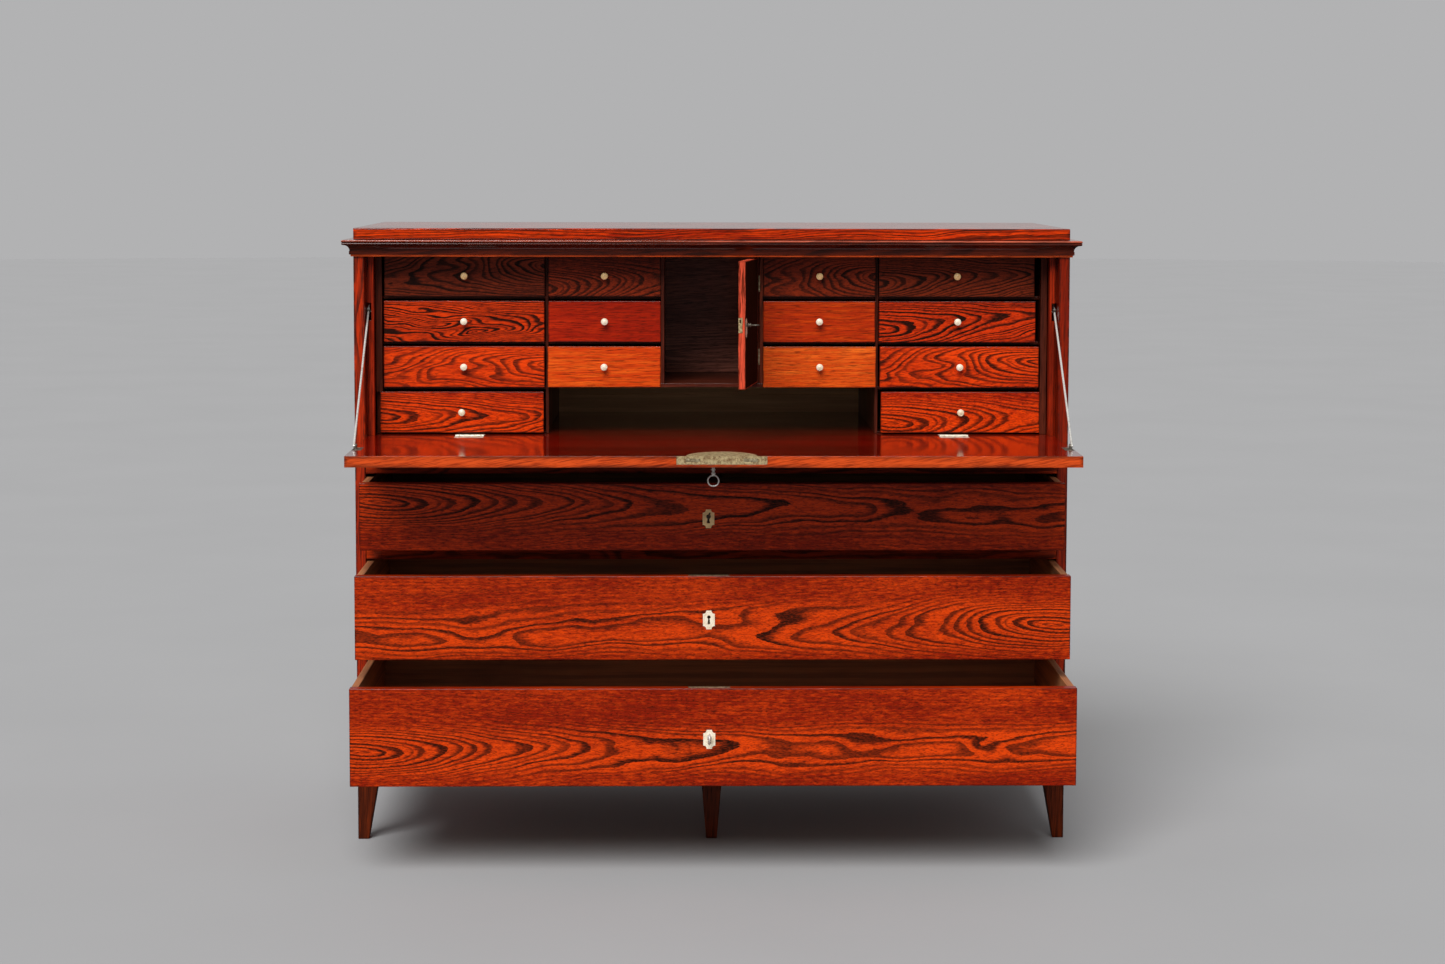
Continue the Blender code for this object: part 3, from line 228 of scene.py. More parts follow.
class Tree:
    """The nodes of a material, a world or a repeated detail."""

    def __init__(self, data: bpy.types.NodeTree) -> None:
        """Wraps a node tree."""
        self.data = data

    def feed(self, node: bpy.types.Node, values: Dict[Union[str, int], Source]) -> None:
        """Gives sockets of a node a number, a vector, a colour or a link.

        Args:
            node: The node.
            values: What each socket gets, by the socket's name or number.
        """
        for key, source in values.items():
            socket = node.inputs[key]
            source = source.socket if isinstance(source, Value) else source
            if isinstance(source, bpy.types.NodeSocket):
                self.data.links.new(source, socket)
            else:
                socket.default_value = (*source, 1.0) if socket.type == "RGBA" else source

    def node(self, kind: str, settings: Dict[str, object],
             values: Dict[Union[str, int], Source]) -> bpy.types.Node:
        """Adds a node of any kind.

        Args:
            kind: The node's type.
            settings: Its own settings.
            values: What each socket gets, by the socket's name or number.

        Returns:
            The node.
        """
        made = self.data.nodes.new(kind)
        for key, setting in settings.items():
            setattr(made, key, setting)
        self.feed(made, values)
        return made

    def value(self, kind: str, settings: Dict[str, object],
              values: Dict[Union[str, int], Source]) -> Value:
        """Adds a node and returns its first output as an expression."""
        return Value(self, self.node(kind, settings, values).outputs[0])

    def parts(self, where: bpy.types.NodeSocket) -> List[Value]:
        """Returns the three numbers of a place."""
        split = self.node("ShaderNodeSeparateXYZ", {}, {0: where})
        return [Value(self, output) for output in split.outputs]

    def blend(self, factor: Number, first: Source, second: Source) -> bpy.types.NodeSocket:
        """Returns a mix of two colours.

        Args:
            factor: How much of the second.
            first: A colour or its socket.
            second: A colour or its socket.

        Returns:
            The socket of the mixed colour.
        """
        mixed = self.node("ShaderNodeMix", {"data_type": "RGBA"}, {0: factor, 6: first, 7: second})
        return mixed.outputs[2]


class Shade(Tree):
    """One material, ending in a Principled shader."""

    def __init__(self, name: str) -> None:
        """Starts a material.

        Args:
            name: The finish's name.
        """
        self.material = bpy.data.materials.new(name)
        self.material.use_nodes = True
        super().__init__(self.material.node_tree)
        self.shader = self.data.nodes["Principled BSDF"]
        self.spot = self.node("ShaderNodeTexCoord", {}, {}).outputs["Object"]

    def noise(self, where: bpy.types.NodeSocket, scale: float = 1.0, detail: float = 2.0,
              rough: float = 0.5) -> Value:
        """Returns a noise from 0 to 1, 0.5 on average."""
        return self.value("ShaderNodeTexNoise", {},
                          {"Vector": where, "Scale": scale, "Detail": detail, "Roughness": rough})

    def moved(self, centre: Triple = ORIGIN, turn: Triple = ORIGIN,
              unit: Triple = (1, 1, 1)) -> bpy.types.NodeSocket:
        """Returns the surface's place measured from a centre along turned axes.

        Args:
            centre: The point that becomes the origin.
            turn: The turn of the new axes, in radians.
            unit: The length along each new axis that counts as one.

        Returns:
            The socket that holds the place.
        """
        mapping = self.node("ShaderNodeMapping", {"vector_type": "TEXTURE"},
                            {"Vector": self.spot, "Location": centre, "Rotation": turn,
                             "Scale": unit})
        return mapping.outputs[0]

    def fibres(self, along: float, across: float, centre: Triple = ORIGIN,
               turn: Triple = ORIGIN) -> bpy.types.NodeSocket:
        """Returns the place with that many cells to the metre along and across the first axis."""
        return self.moved(centre, turn, (1 / along, 1 / across, 1 / across))

    def finish(self, values: Dict[Union[str, int], Source], relief: Optional[Value] = None,
               depth: float = 0.0) -> bpy.types.Material:
        """Feeds the shader.

        Args:
            values: What each of its sockets gets.
            relief: A height for the bump.
            depth: How high the relief's 1 stands, in metres.

        Returns:
            The material.
        """
        self.feed(self.shader, values)
        if relief is not None:
            bump = self.node("ShaderNodeBump", {}, {"Height": relief, "Distance": depth,
                                                    "Strength": 1.0})
            self.feed(self.shader, {"Normal": bump.outputs[0]})
        return self.material


# Finishes

STAIN_BRIGHT = srgb(228, 65, 2)
STAIN_RED = srgb(150, 25, 0)
STAIN_DARK = srgb(30, 7, 0)
HANDLED = srgb(30, 12, 7)
DEEP_BRIGHT = srgb(214, 64, 2)
DEEP_RED = srgb(132, 24, 0)
# Painted shade: darker stain for the top row of small drawers, where the cornice shades them
ROW1_PAINTED_SHADE_BRIGHT = srgb(138, 44, 14)
ROW1_PAINTED_SHADE_RED = srgb(82, 23, 9)
# Painted shade: the feet and the base below their tops, darkened where the pulled-out lower drawer
# shades them
FOOT_PAINTED_SHADE_BRIGHT = srgb(106, 38, 9)
FOOT_PAINTED_SHADE_RED = srgb(70, 22, 5)
# Painted shade: the gallery's uprights, top, shelf and dividers darkened, as in the shade of the
# recesses
INNER_PAINTED_SHADE_BRIGHT = srgb(112, 44, 24)
INNER_PAINTED_SHADE_RED = srgb(70, 28, 18)


@dataclass(frozen=True)
class Band:
    """A range of levels at which a board takes other colours: the fall's polished inner face, the base
    above its painted shade, and painted highlights on the cornice.
    """

    low: float
    high: float
    bright: Colour
    red: Colour
    soft: float = 0.001
    calm: float = 0.45

    def mask(self, level: Value) -> Value:
        """Returns 1 inside the band and 0 above and below it."""
        return (level.rise(self.low - self.soft, self.low + self.soft)
                * level.rise(self.high + self.soft, self.high - self.soft))


@dataclass(frozen=True)
class Ash:
    """Ring-porous ash, stained red, under shellac.

    The growth rings are tubes around the heart of the tree. Where a board cuts them at a slant
    they show as nested arches, and away from the heart's line the figure fades into plain red.
    Cells are counted to the metre, along and across the fibres. Pairs named _range are the start
    and end of a soft step in a noise.
    """

    name: str
    grain: Axis = Axis.X
    heart: Triple = ORIGIN
    lean: Pair = (0.0, 0.0)
    ring: float = 0.0045
    wave: float = 0.010
    bright: Colour = STAIN_BRIGHT
    red: Colour = STAIN_RED
    dark: Colour = STAIN_DARK
    strength: float = 1.0
    spread: float = 0.070
    reach: float = 0.070
    plain: float = 0.36
    gloss: float = 0.22
    roughness: float = 0.36
    sheen: float = 0.10
    roll: float = 0.0
    bands: Tuple[Band, ...] = ()
    edge: Optional[Colour] = None
    edge_axes: Tuple[int, int] = (0, 1)
    edge_reach: Pair = (0.0016, 0.0010)
    rim: Optional[Box] = None
    rim_width: float = 0.0035
    rim_turn: float = 0.0
    slow_cells: Pair = (2.4, 9)
    fibre_cells: Pair = (9, 300)
    hair_cells: Pair = (30, 800)
    wear_cells: Pair = (9, 60)
    drift: float = 4.0
    sway: float = 3.0
    season: float = 2.2
    season_run: float = 0.35
    fray: float = 0.42
    pores: Pair = (0.34, 0.74)
    pores_end: Pair = (1.0, 0.955)
    vigour_swing: float = 0.4
    pore_range: Pair = (0.34, 0.56)
    pore_swing: float = 0.2
    mottle: float = 1.6
    streaks: float = 2.4
    redness: float = 0.16
    hair_range: Pair = (0.50, 0.66)
    hair_dark: float = 0.6
    fade: Pair = (0.8, 0.6)
    fade_end: float = 0.4
    bare: Triple = (1.1, 0.8, 0.5)
    bare_hair_range: Pair = (0.44, 0.60)
    bare_patch_range: Pair = (0.50, 0.80)
    wear: float = 0.75
    wear_fray: float = 0.8
    wear_reach: Pair = (1.6, 0.0)
    wear_range: Pair = (0.30, 0.62)
    dulling: Pair = (0.14, 0.12)
    polish: float = 0.08
    coat_roughness: float = 0.09
    relief: Triple = (-0.6, -0.5, 0.3)
    grain_depth: float = 0.00006

    def turn(self) -> Triple:
        """Returns the turn that lays the first axis along the fibres.

        Returns:
            The turn about X, Y and Z, in radians.
        """
        across, up = (math.atan(slope) for slope in self.lean)
        if self.grain is Axis.X:
            return self.roll, -up, across
        if self.grain is Axis.Y:
            return 0.0, -up, QUARTER + across
        return across, up - QUARTER, 0.0

    def material(self) -> bpy.types.Material:
        """Builds the material.

        Returns:
            The finished material.
        """
        shade = Shade(self.name)
        slow, fine, finest = (shade.fibres(*cells, self.heart, self.turn())
                              for cells in (self.slow_cells, self.fibre_cells, self.hair_cells))
        fibre = shade.noise(fine, detail=3.0, rough=0.65)
        hair = shade.noise(finest, rough=0.6)
        patch = shade.noise(slow, 1.3)
        porous, figure = self.figure(shade, slow, fibre, patch)
        porous = porous * hair.rise(*self.pore_range).share(self.pore_swing) * figure
        bright, red = self.bright, self.red
        for band in self.bands:
            inside = band.mask(shade.parts(shade.moved())[2])
            bright = shade.blend(inside, bright, band.bright)
            red = shade.blend(inside, red, band.red)
            porous = porous * (1 - inside * band.calm)
        redness = ((patch - 0.5) * self.mottle + (fibre - 0.5) * self.streaks + (1 - figure)
                   + self.redness)
        colour = shade.blend(redness, bright, red)
        colour = shade.blend(porous * self.strength, colour, self.dark)
        colour = shade.blend(hair.rise(*self.hair_range) * self.hair_dark, colour, self.dark)
        if self.rim:
            depths = self.depths(shade)
            if self.edge:
                nearest = depths[self.edge_axes[0]].least(depths[self.edge_axes[1]])
                most, by_hair, by_patch = self.bare
                bare = (most - hair.rise(*self.bare_hair_range) * by_hair
                        - patch.rise(*self.bare_patch_range) * by_patch)
                colour = shade.blend(nearest.rise(*self.edge_reach) * bare, colour, self.edge)
            colour = shade.blend(self.worn(shade, depths, fibre), colour, HANDLED)
        by_fibre, by_pores = self.dulling
        roughness = fibre * by_fibre + porous * by_pores + (self.roughness - self.polish)
        of_pores, of_hair, of_fibre = self.relief
        return shade.finish({"Base Color": colour, "Roughness": roughness, "Coat Weight": self.gloss,
                             "Coat Roughness": self.coat_roughness,
                             "Specular IOR Level": self.sheen},
                            porous * of_pores + hair * of_hair + fibre * of_fibre, self.grain_depth)

    def figure(self, shade: Shade, slow: bpy.types.NodeSocket, fibre: Value,
               patch: Value) -> Tuple[Value, Value]:
        """Draws the growth rings.

        Args:
            shade: The material that is being made.
            slow: The place in slow cells.
            fibre: The fibre noise, which frays the lines.
            patch: The slow noise, which moves the bounds of the figure.

        Returns:
            The dark porous lines, and how strongly the figure shows.
        """
        _, across, up = shade.parts(shade.moved(self.heart, self.turn()))
        drift = (shade.noise(slow, 1.0, 1.0, 0.4) - 0.5) * (self.wave * self.drift)
        sway = (shade.noise(slow, 1.9, 2.0, 0.4) - 0.5) * (self.wave * self.sway)
        off = (across / self.spread).levelled() * self.spread + sway
        up = up + drift
        away = (off * off + up * up).root()
        season = shade.value("ShaderNodeTexNoise", {"noise_dimensions": "1D"},
                             {"W": away * (self.season_run / self.ring), "Scale": 1.0,
                              "Detail": 1.0})
        rings = away / self.ring + season * self.season + (fibre - 0.5) * self.fray
        phase = rings.fraction()
        vigour = shade.value("ShaderNodeTexWhiteNoise", {"noise_dimensions": "1D"},
                             {"W": rings - phase})
        line = phase.rise(*self.pores) * phase.rise(*self.pores_end)
        swing, least = self.fade
        bounds = up.size() / (patch * swing + least)
        visible = bounds.rise(self.reach, self.reach * self.fade_end).share(1 - self.plain)
        return line * vigour.share(self.vigour_swing), visible

    def depths(self, shade: Shade) -> List[Value]:
        """Returns how deep a point lies in the board along X, Y and Z.

        Args:
            shade: The material that is being made.

        Returns:
            The three distances to the board's nearest faces.
        """
        half = (self.rim.hi - self.rim.lo) / 2
        place = shade.parts(shade.moved(tuple(self.rim.centre), (0, 0, self.rim_turn)))
        return [reach - part.size() for reach, part in zip(half, place)]

    def worn(self, shade: Shade, depths: List[Value], fibre: Value) -> Value:
        """Returns how dark the handled edges of a board are.

        Args:
            shade: The material that is being made.
            depths: How deep a point lies along X, Y and Z.
            fibre: Its fibre noise, which frays the edge.

        Returns:
            A mask that is highest at the board's edges.
        """
        x, y, z = depths
        arris = x.least(y).most(x.most(y).least(z))
        rough = shade.noise(shade.fibres(*self.wear_cells), detail=3.0)
        reach = (arris + (fibre - 0.5) * (self.rim_width * self.wear_fray)) / self.rim_width
        return reach.rise(*self.wear_reach) * rough.rise(*self.wear_range) * self.wear


@dataclass(frozen=True)
class Lining:
    """Unpolished softwood inside the drawers and on the back, darkened by age."""

    name: str
    grain: Axis = Axis.X
    pale: Colour = srgb(176, 116, 74)
    dark: Colour = srgb(108, 66, 42)
    streak_cells: Pair = (2.5, 90)
    fine_cells: Pair = (14, 700)
    stain_cells: float = 5.0
    streak_range: Pair = (0.38, 0.62)
    streak_dark: Pair = (0.6, 0.5)
    stain_range: Pair = (0.45, 0.75)
    stain_dark: float = 0.55
    roughness: Pair = (0.2, 0.55)
    grain_depth: float = 0.0003

    def material(self) -> bpy.types.Material:
        """Builds the material.

        Returns:
            The finished material.
        """
        turn = (0, 0, QUARTER) if self.grain is Axis.Y else ORIGIN
        shade = Shade(self.name)
        streak = shade.noise(shade.fibres(*self.streak_cells, ORIGIN, turn), 1.0, 4.0, 0.6)
        fine = shade.noise(shade.fibres(*self.fine_cells, ORIGIN, turn), 1.0, 3.0, 0.7)
        stain = shade.noise(shade.moved(), self.stain_cells, 4.0, 0.6)
        band = streak.rise(*self.streak_range)
        by_band, by_fine = self.streak_dark
        colour = shade.blend(band * by_band + (fine - 0.5) * by_fine, self.pale, self.dark)
        colour = shade.blend(stain.rise(*self.stain_range) * self.stain_dark, colour, self.dark)
        swing, least = self.roughness
        return shade.finish({"Base Color": colour, "Roughness": fine * swing + least,
                             "Coat Weight": 0.0}, fine * 0.5 + band * 0.5, self.grain_depth)


@dataclass(frozen=True)
class Bone:
    """Yellowed bone with fine dark channels."""

    name: str
    pale: Colour = srgb(240, 228, 206)
    aged: Colour = srgb(206, 176, 128)
    channel: Colour = srgb(120, 88, 56)
    cloud_cells: float = 90.0
    channel_cells: Pair = (2600, 500)
    cloud_range: Pair = (0.40, 0.72)
    cloud_dark: float = 0.5
    channel_range: Pair = (0.62, 0.74)
    channel_dark: float = 0.55
    roughness: Pair = (0.2, 0.26)
    coat: Pair = (0.25, 0.15)
    channel_depth: float = 0.00008

    def material(self) -> bpy.types.Material:
        """Builds the material.

        Returns:
            The finished material.
        """
        across, along = self.channel_cells
        shade = Shade(self.name)
        cloud = shade.noise(shade.moved(), self.cloud_cells, 3.0)
        channel = shade.noise(shade.moved(unit=(1 / across, 1 / across, 1 / along)))
        speck = channel.rise(*self.channel_range)
        colour = shade.blend(cloud.rise(*self.cloud_range) * self.cloud_dark, self.pale, self.aged)
        colour = shade.blend(speck * self.channel_dark, colour, self.channel)
        swing, least = self.roughness
        weight, coat_roughness = self.coat
        return shade.finish({"Base Color": colour, "Roughness": cloud * swing + least,
                             "Coat Weight": weight, "Coat Roughness": coat_roughness},
                            speck * -1.0, self.channel_depth)


@dataclass(frozen=True)
class Metal:
    """Handled brass or iron: bright where it is rubbed, brown in between."""

    name: str
    bright: Colour
    tarnish: Colour
    scale: float = 160.0
    cover: float = 0.55
    roughness: float = 0.34
    tarnish_metal: float = 0.55
    shine: float = 1.0
    soft: float = 0.16
    scratch_cells: Pair = (40, 1500)
    scratch_turn: Triple = (0.3, 0.2, 0.5)
    scratch_range: Pair = (0.60, 0.72)
    scratch_bright: float = 0.35
    dulling: Pair = (0.28, 0.1)
    polish: float = 0.05
    relief: Pair = (0.6, 0.4)
    scratch_depth: float = 0.00012

    def material(self) -> bpy.types.Material:
        """Builds the material.

        Returns:
            The finished material.
        """
        shade = Shade(self.name)
        spots = shade.noise(shade.moved(), self.scale, 5.0, 0.65)
        scratch = shade.noise(shade.fibres(*self.scratch_cells, ORIGIN, self.scratch_turn))
        worn = spots.rise(self.cover + self.soft, self.cover - self.soft)
        colour = shade.blend(worn, self.bright, self.tarnish)
        colour = shade.blend(scratch.rise(*self.scratch_range) * self.scratch_bright, colour,
                             self.bright)
        by_tarnish, by_scratch = self.dulling
        roughness = worn * by_tarnish + scratch * by_scratch + (self.roughness - self.polish)
        of_tarnish, of_scratch = self.relief
        return shade.finish({"Base Color": colour, "Roughness": roughness,
                             "Metallic": (1 - worn * (1 - self.tarnish_metal)) * self.shine},
                            worn * of_tarnish + scratch * of_scratch, self.scratch_depth)


# Shapes

def block(mesh: bmesh.types.BMesh, lo: Sequence[float], hi: Sequence[float], ease: float,
          steps: int = 2) -> None:
    """Adds a board with eased edges.

    Args:
        mesh: The mesh to add to.
        lo: The lowest corner.
        hi: The highest corner.
        ease: How far each edge is rounded.
        steps: The faces across a rounded edge.
    """
    lo, hi = Vector(lo), Vector(hi)
    place = Matrix.Translation((lo + hi) / 2) @ Matrix.Diagonal((*(hi - lo), 1.0))
    made = bmesh.ops.create_cube(mesh, size=1.0, matrix=place)
    edges = {edge for vert in made["verts"] for edge in vert.link_edges}
    bmesh.ops.bevel(mesh, geom=list(edges), offset=ease, segments=steps, profile=0.5,
                    affect="EDGES", clamp_overlap=True)


def board(lo: Sequence[float], hi: Sequence[float], ease: float, steps: int = 2) -> bmesh.types.BMesh:
    """Returns one board with eased edges.

    Args:
        lo: The lowest corner.
        hi: The highest corner.
        ease: How far each edge is rounded.
        steps: The faces across a rounded edge.

    Returns:
        The board.
    """
    mesh = bmesh.new()
    block(mesh, lo, hi, ease, steps)
    return mesh


def extrusion(outline: Sequence[Pair], axis: Axis, start: float, end: float) -> bmesh.types.BMesh:
    """Returns an outline drawn out along an axis.

    Args:
        outline: Its points, as the two other coordinates in X, Y, Z order.
        axis: The direction.
        start: Where it starts.
        end: Where it ends.

    Returns:
        The closed solid.
    """
    order = {Axis.X: (2, 0, 1), Axis.Y: (0, 2, 1), Axis.Z: (0, 1, 2)}[axis]
    mesh = bmesh.new()
    rows = []
    for depth in (start, end):
        triples = [(first, second, depth) for first, second in outline]
        rows.append([mesh.verts.new([triple[i] for i in order]) for triple in triples])
    skin(mesh, rows)
    return mesh


def skin(mesh: bmesh.types.BMesh, rows: Sequence[Sequence[bmesh.types.BMVert]]) -> None:
    """Joins rows of points that run round a solid, and closes both ends.

    Args:
        mesh: The mesh that holds the points.
        rows: As many points in each row, in the same order.
    """
    count = len(rows[0])
    for first, second in zip(rows, rows[1:]):
        for index in range(count):
            after = (index + 1) % count
            mesh.faces.new((first[index], second[index], second[after], first[after]))
    mesh.faces.new(rows[0])
    mesh.faces.new(rows[-1][::-1])
    bmesh.ops.recalc_face_normals(mesh, faces=mesh.faces)


def turned(mesh: bmesh.types.BMesh, profile: Sequence[Pair], start: Sequence[float],
           direction: Sequence[float], steps: int = 40) -> None:
    """Adds a turned solid.

    Args:
        mesh: The mesh to add to.
        profile: Pairs of distance along the axis and radius. Both ends are closed.
        start: The point that distances count from.
        direction: The way along the axis.
        steps: The sides of the solid.
    """
    direction = Vector(direction).normalized()
    across = direction.orthogonal().normalized()
    third = direction.cross(across)
    rows = []
    for along, radius in [(profile[0][0], 0.0), *profile, (profile[-1][0], 0.0)]:
        middle = Vector(start) + direction * along
        if not radius:
            rows.append([mesh.verts.new(middle)])
            continue
        turns = (math.tau * step / steps for step in range(steps))
        rows.append([mesh.verts.new(middle + (across * math.cos(turn) + third * math.sin(turn))
                                    * radius) for turn in turns])
    faces = []
    for first, second in zip(rows, rows[1:]):
        for step in range(steps):
            after = (step + 1) % steps
            ring = [first[step % len(first)], first[after % len(first)],
                    second[after % len(second)], second[step % len(second)]]
            corners = list(dict.fromkeys(ring))
            if len(corners) > 2:
                faces.append(mesh.faces.new(corners))
    bmesh.ops.recalc_face_normals(mesh, faces=faces)


def rod(mesh: bmesh.types.BMesh, start: float, end: float, radius: float, centre: Sequence[float],
        direction: Sequence[float], steps: int) -> None:
    """Adds a plain round rod, as turned() does.

    Args:
        mesh: The mesh to add to.
        start: Where it starts along its axis.
        end: Where it ends.
        radius: Its radius.
        centre: The point that distances count from.
        direction: The way along the axis.
        steps: The sides of the rod.
    """
    turned(mesh, [(start, radius), (end, radius)], centre, direction, steps)


def hoop(mesh: bmesh.types.BMesh, centre: Vector, radius: float, wire: float, steps: int = 48) -> None:
    """Adds a round wire bent into a ring that faces along X.

    Args:
        mesh: The mesh to add to.
        centre: The middle of the ring.
        radius: From the middle to the middle of the wire.
        wire: The wire's radius.
        steps: The points round the ring.
    """
    normal = Vector((1, 0, 0))
    across = normal.orthogonal().normalized()
    third = normal.cross(across)
    sides = 12
    rows = []
    for step in range(steps):
        turn = math.tau * step / steps
        out = across * math.cos(turn) + third * math.sin(turn)
        rows.append([mesh.verts.new(centre + out * (radius + wire * math.cos(math.tau * s / sides))
                                    + normal * wire * math.sin(math.tau * s / sides))
                     for s in range(sides)])
    faces = []
    for step in range(steps):
        after = (step + 1) % steps
        for side in range(sides):
            beside = (side + 1) % sides
            faces.append(mesh.faces.new((rows[step][side], rows[after][side],
                                         rows[after][beside], rows[step][beside])))
    bmesh.ops.recalc_face_normals(mesh, faces=faces)


def linked(mesh: bmesh.types.BMesh, name: str = "shape") -> bpy.types.Object:
    """Puts a mesh into the scene.

    Args:
        mesh: The mesh, which is used up.
        name: The name of its object.

    Returns:
        Its object.
    """
    data = bpy.data.meshes.new(name)
    mesh.to_mesh(data)
    mesh.free()
    made = bpy.data.objects.new(name, data)
    bpy.context.scene.collection.objects.link(made)
    return made


def joined(meshes: Iterable[bmesh.types.BMesh]) -> bmesh.types.BMesh:
    """Returns several meshes as one.

    Args:
        meshes: The meshes, which are used up.

    Returns:
        The one mesh.
    """
    whole = bmesh.new()
    for mesh in meshes:
        data = bpy.data.meshes.new("shape")
        mesh.to_mesh(data)
        mesh.free()
        whole.from_mesh(data)
        bpy.data.meshes.remove(data)
    return whole


def settled(made: bpy.types.Object) -> bmesh.types.BMesh:
    """Returns an object's evaluated mesh, and removes the object.

    Args:
        made: An object with live modifiers.

    Returns:
        The mesh that its modifiers give.
    """
    bpy.context.view_layer.update()
    graph = bpy.context.evaluated_depsgraph_get()
    final = bpy.data.meshes.new_from_object(made.evaluated_get(graph))
    mesh = bmesh.new()
    mesh.from_mesh(final)
    bpy.data.objects.remove(made, do_unlink=True)
    bpy.data.meshes.remove(final)
    return mesh


def carved(mesh: bmesh.types.BMesh, cutters: Iterable[bmesh.types.BMesh], ease: float = 0.0,
           steps: int = 2) -> bmesh.types.BMesh:
    """Cuts shapes out of a solid, then eases its sharp edges.

    Args:
        mesh: The solid.
        cutters: What is cut out of it.
        ease: How far its sharp edges are rounded.
        steps: The faces across a rounded edge.

    Returns:
        The finished solid.
    """
    made = linked(mesh)
    tools = [linked(cutter) for cutter in cutters]
    for tool in tools:
        cut = made.modifiers.new("cut", "BOOLEAN")
        cut.operation, cut.solver, cut.object = "DIFFERENCE", "EXACT", tool
    if ease:
        bevel = made.modifiers.new("ease", "BEVEL")
        bevel.width, bevel.segments = ease, steps
        bevel.limit_method, bevel.angle_limit = "ANGLE", math.radians(30)
    result = settled(made)
    for tool in tools:
        bpy.data.objects.remove(tool, do_unlink=True)
    return result


def refined(node: str, ease: float) -> bmesh.types.BMesh:
    """Returns a merged copy of a CAD node with its sharp edges eased.

    Args:
        node: The CAD node.
        ease: How far its edges are rounded.

    Returns:
        The finer mesh.
    """
    mesh = bmesh.new()
    mesh.from_mesh(frame["nodes"][node].data)
    bmesh.ops.remove_doubles(mesh, verts=mesh.verts, dist=0.00001)
    bmesh.ops.dissolve_limit(mesh, angle_limit=math.radians(1), verts=mesh.verts, edges=mesh.edges)
    return carved(mesh, (), ease)


def placed(mesh: bmesh.types.BMesh, place: Matrix) -> bmesh.types.BMesh:
    """Moves a mesh by a matrix and returns it."""
    bmesh.ops.transform(mesh, matrix=place, verts=mesh.verts)
    return mesh


def facing(point: Vector, out: Sequence[float], foot: Sequence[float]) -> Matrix:
    """Returns the place of a key or shield.

    Args:
        point: Where its keyhole's head lies.
        out: The direction that it faces.
        foot: The direction of the keyhole's foot.

    Returns:
        The matrix that turns -Y to out and -Z to foot.
    """
    out, foot = Vector(out).normalized(), Vector(foot).normalized()
    across = (-out).cross(-foot)
    turn = Matrix((across, -out, -foot)).transposed()
    return Matrix.Translation(point) @ turn.to_4x4()


def piece(name: str, mesh: bmesh.types.BMesh, material: bpy.types.Material, body: str,
          nodes: Sequence[str] = (), smooth: bool = False) -> None:
    """Puts a finished piece into the scene.

    Args:
        name: The piece's name.
        mesh: Its shape, in place.
        material: Its finish.
        body: The CAD body that it moves with.
        nodes: The CAD nodes that it stands for.
        smooth: True for round pieces.
    """
    made = linked(mesh, name)
    data = made.data
    data.materials.clear()
    data.materials.append(material)
    for face in data.polygons:
        face.material_index = 0
    if smooth:
        data.shade_smooth()
        data.set_sharp_from_angle(angle=math.radians(40))
    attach(made, body)
    if nodes:
        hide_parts(*nodes)
    LOG.info("%s: %d faces on %s", name, len(data.polygons), body)


# Repeated details

class Pattern(Tree):
    """A Geometry Nodes tree that repeats one detail on the points of a mesh."""

    def __init__(self, name: str, sizes: Dict[str, float]) -> None:
        """Starts a tree with a named input for each size, a turn and a finish.

        Args:
            name: The detail's name.
            sizes: Its sizes and their usual values.
        """
        super().__init__(bpy.data.node_groups.new(name, "GeometryNodeTree"))
        kinds = {"Points": "Geometry", **dict.fromkeys(sizes, "Float"), "Turn": "Vector",
                 "Finish": "Material"}
        self.ids = {}
        for label, kind in kinds.items():
            socket = self.data.interface.new_socket(label, in_out="INPUT",
                                                    socket_type=f"NodeSocket{kind}")
            self.ids[label] = socket.identifier
            if label in sizes:
                socket.default_value = sizes[label]
        self.data.interface.new_socket("Details", in_out="OUTPUT", socket_type="NodeSocketGeometry")
        self.source = self.node("NodeGroupInput", {}, {})

    def size(self, label: str) -> bpy.types.NodeSocket:
        """Returns the socket of a named input."""
        return self.source.outputs[label]

    def end(self, detail: bpy.types.NodeSocket) -> None:
        """Places the detail on every point and closes the tree.

        Args:
            detail: The socket that holds its shape.
        """
        turn = self.node("FunctionNodeEulerToRotation", {}, {0: self.size("Turn")})
        copies = self.node("GeometryNodeInstanceOnPoints", {},
                           {"Points": self.size("Points"), "Instance": detail,
                            "Rotation": turn.outputs[0]})
        real = self.node("GeometryNodeRealizeInstances", {}, {0: copies.outputs[0]})
        dressed = self.node("GeometryNodeSetMaterial", {},
                            {"Geometry": real.outputs[0], "Material": self.size("Finish")})
        self.node("NodeGroupOutput", {}, {0: dressed.outputs[0]})

    def mesh(self, points: Sequence[Sequence[float]], finish: bpy.types.Material,
             turn: Triple = ORIGIN, **sizes: float) -> bmesh.types.BMesh:
        """Runs the tree on a set of points.

        Args:
            points: Where a detail stands.
            finish: Its material.
            turn: How each detail is turned, in radians.
            **sizes: Values for the named inputs, with _ for a space.

        Returns:
            A plain mesh of all the details.
        """
        cloud = bmesh.new()
        for point in points:
            cloud.verts.new(point)
        made = linked(cloud)
        change = made.modifiers.new("pattern", "NODES")
        change.node_group = self.data
        change[self.ids["Turn"]] = turn
        change[self.ids["Finish"]] = finish
        for label, number in sizes.items():
            change[self.ids[label.replace("_", " ")]] = number
        return settled(made)


